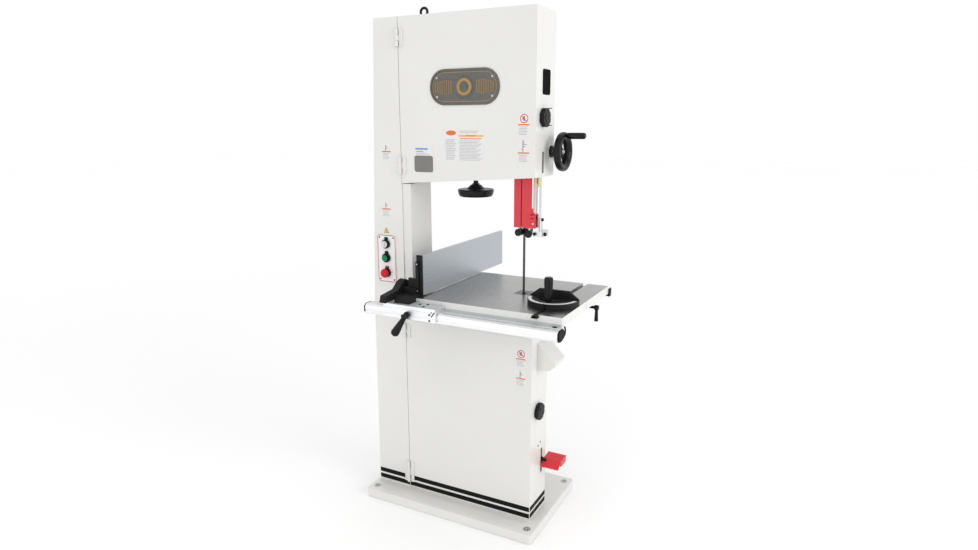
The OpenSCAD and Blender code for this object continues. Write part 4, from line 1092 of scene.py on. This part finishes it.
def make_miter_details():
    head, bar_box = Box("miter_head"), Box("miter_bar")
    pivot = up(head.x, MITER_Y, 0)
    bm = bmesh.new()
    radius = (head.x1 - head.x0) / 2
    outer, inner = radius - 2, radius - 15
    border_outer = arc(0, 0, outer, 185, 355, 60)
    border_inner = arc(0, 0, inner, 185, 355, 60)
    prism(bm, pivot, border_outer + border_inner[::-1], MITER_TOP, MITER_TOP + 0.25)
    for i in range(35):
        reach = outer - (7 if i % 3 == 0 else 4)
        along, side = polar(1, 185 + 5 * i), polar(0.4, 275 + 5 * i)
        corners = [along * reach - side, along * outer - side, along * outer + side, along * reach + side]
        prism(bm, pivot, corners, MITER_TOP + 0.25, MITER_TOP + 0.3, 1)
    piece("miter_scale", bm, "miter_head", "film ink_black", smooth=False)
    bm = bmesh.new()
    pointer = [(-4, -radius - 12), (4, -radius - 12), (1, -radius + 7), (-1, -radius + 7)]
    prism(bm, pivot, pointer, MITER_TOP + 0.4, MITER_TOP + 1.4, 0)
    bar(bm, up(head.x, 0, 0), -4, MITER_Y - radius - 13, 4, MITER_Y - radius - 1, TABLE_Z, MITER_TOP + 1.4, 1)
    piece("miter_pointer", bm, "miter_bar", "ink_red casting", bevel=0.2)
    bm = bmesh.new()
    end = up(bar_box.x, bar_box.y0, 0)
    nose = [(-9.6, 0), (9.6, 0), (9.6, 10), (6, 14), (-6, 14), (-9.6, 10)]
    prism(bm, end, nose, TABLE_Z - 6.8, TABLE_Z - 0.4)
    prism(bm, end, rounded(-11.7, 0, 11.7, 14.6, 2), TABLE_Z - 9.75, TABLE_Z - 6.5)
    piece("miter_bar_end", bm, "miter_bar", "black", bevel=0.5)
    bm = bmesh.new()
    for x in (head.x0 + 45, head.x1 - 45):
        cap_screw(bm, front(x, head.y1 - 10, TABLE_Z + 36), 5, 3.5)
    lathe(bm, up(head.x, MITER_Y, MITER_TOP), [(9, 0), (9, 1.2), (6, 3.2), (0, 3.6)], 0, 32)
    piece("miter_screws", bm, "miter_head", "glossy")


def make_pedal_details():
    box = Box("brake_pedal")
    bm = bmesh.new()
    fold_y, fold_z, back_z = box.y1 - 56, PEDAL_Z + 19, PEDAL_Z + 24
    slope = (back_z - fold_z) / (box.y1 - fold_y)
    for i in range(4):
        y = fold_y + 7 + i * 12
        z = fold_z + slope * (y - fold_y)
        prism(bm, up(0, 0, z), rounded(box.x1 - 58, y, box.x1 - 8, y + 4, 1.8), -0.4, 1.2)
    piece("pedal_ribs", bm, "brake_pedal", "red", bevel=0.4)
    bm = bmesh.new()
    for y, z in ((-46, 342), (-68, 333)):
        pan_screw(bm, right(LOWER_WALL, y, z), 3.6)
    piece("pedal_screws", bm, "machine", "glossy")


# ---- stage ----

def make_stage():
    bm = bmesh.new()
    reach, low = 30000, -1.0
    prism(bm, up(), [(-reach, -reach), (reach, -reach), (reach, reach), (-reach, reach)], low - 10, low)
    mesh = bpy.data.meshes.new("floor")
    bm.to_mesh(mesh)
    bm.free()
    floor = bpy.data.objects.new("floor", mesh)
    bpy.context.scene.collection.objects.link(floor)
    mesh.materials.append(floor_material())


def floor_material():
    s = Shader("studio_floor")
    near = s.mix(s.spread(s.noise(0.4), 0.0, 1.0), (0.93, 0.93, 0.93), (0.94, 0.94, 0.94))
    away = s.tree.nodes.new("ShaderNodeVectorMath")
    away.operation = "LENGTH"
    s.put(away.inputs[0], s.coords)
    tone = s.mix(s.spread(away.outputs["Value"], 0.0, 1.0, at=(1.5, 7.0)), near, (1.0, 1.0, 1.0))
    return s.finish(tone, 0.7, s.noise(30.0), 0.00001)


def light(name, location, target, power, size):
    data = bpy.data.lights.new(name, "AREA")
    data.energy = power
    data.size = size
    obj = bpy.data.objects.new(name, data)
    bpy.context.scene.collection.objects.link(obj)
    obj.location = location
    obj.rotation_euler = (Vector(target) - Vector(location)).to_track_quat("-Z", "Y").to_euler()


def make_lights():
    world = bpy.data.worlds.new("studio")
    bpy.context.scene.world = world
    world.use_nodes = True
    ground = world.node_tree.nodes["Background"]
    ground.inputs["Color"].default_value = (1.0, 1.0, 1.0, 1.0)
    ground.inputs["Strength"].default_value = 1.0
    light("key_right", (4.6, -0.6, 2.6), (0.2, 0, 1.0), 62, 2.2)
    light("fill_front", (-1.6, -4.6, 2.8), (0, 0, 1.1), 13, 2.6)
    light("fill_low", (-0.6, -3.0, 0.7), (0, 0, 0.3), 5, 1.4)


def make_camera():
    data = bpy.data.cameras.new("camera")
    data.sensor_width = 36
    data.lens = 24.35
    obj = bpy.data.objects.new("camera", data)
    bpy.context.scene.collection.objects.link(obj)
    obj.location = (1.292468, -2.346986, 1.594526)
    obj.rotation_euler = (math.radians(77.328), 0, math.radians(27.1606))
    bpy.context.scene.camera = obj
    bpy.context.scene.view_settings.view_transform = "Standard"


dress_casework()
dress_running_gear()
dress_guides()
dress_table()
dress_controls()
make_blade()
make_wheel_details()
make_motor_details()
make_stripes()
make_badge()
make_labels()
make_panel_details()
make_panes()
make_fasteners()
make_latch_caps()
make_stop_button()
make_crank()
make_tension_ribs()
make_guard_details()
make_guide_discs()
make_front_rail()
make_table_details()
make_fence_plate()
make_carriage_details()
make_miter_details()
make_pedal_details()
make_stage()
make_lights()
make_camera()
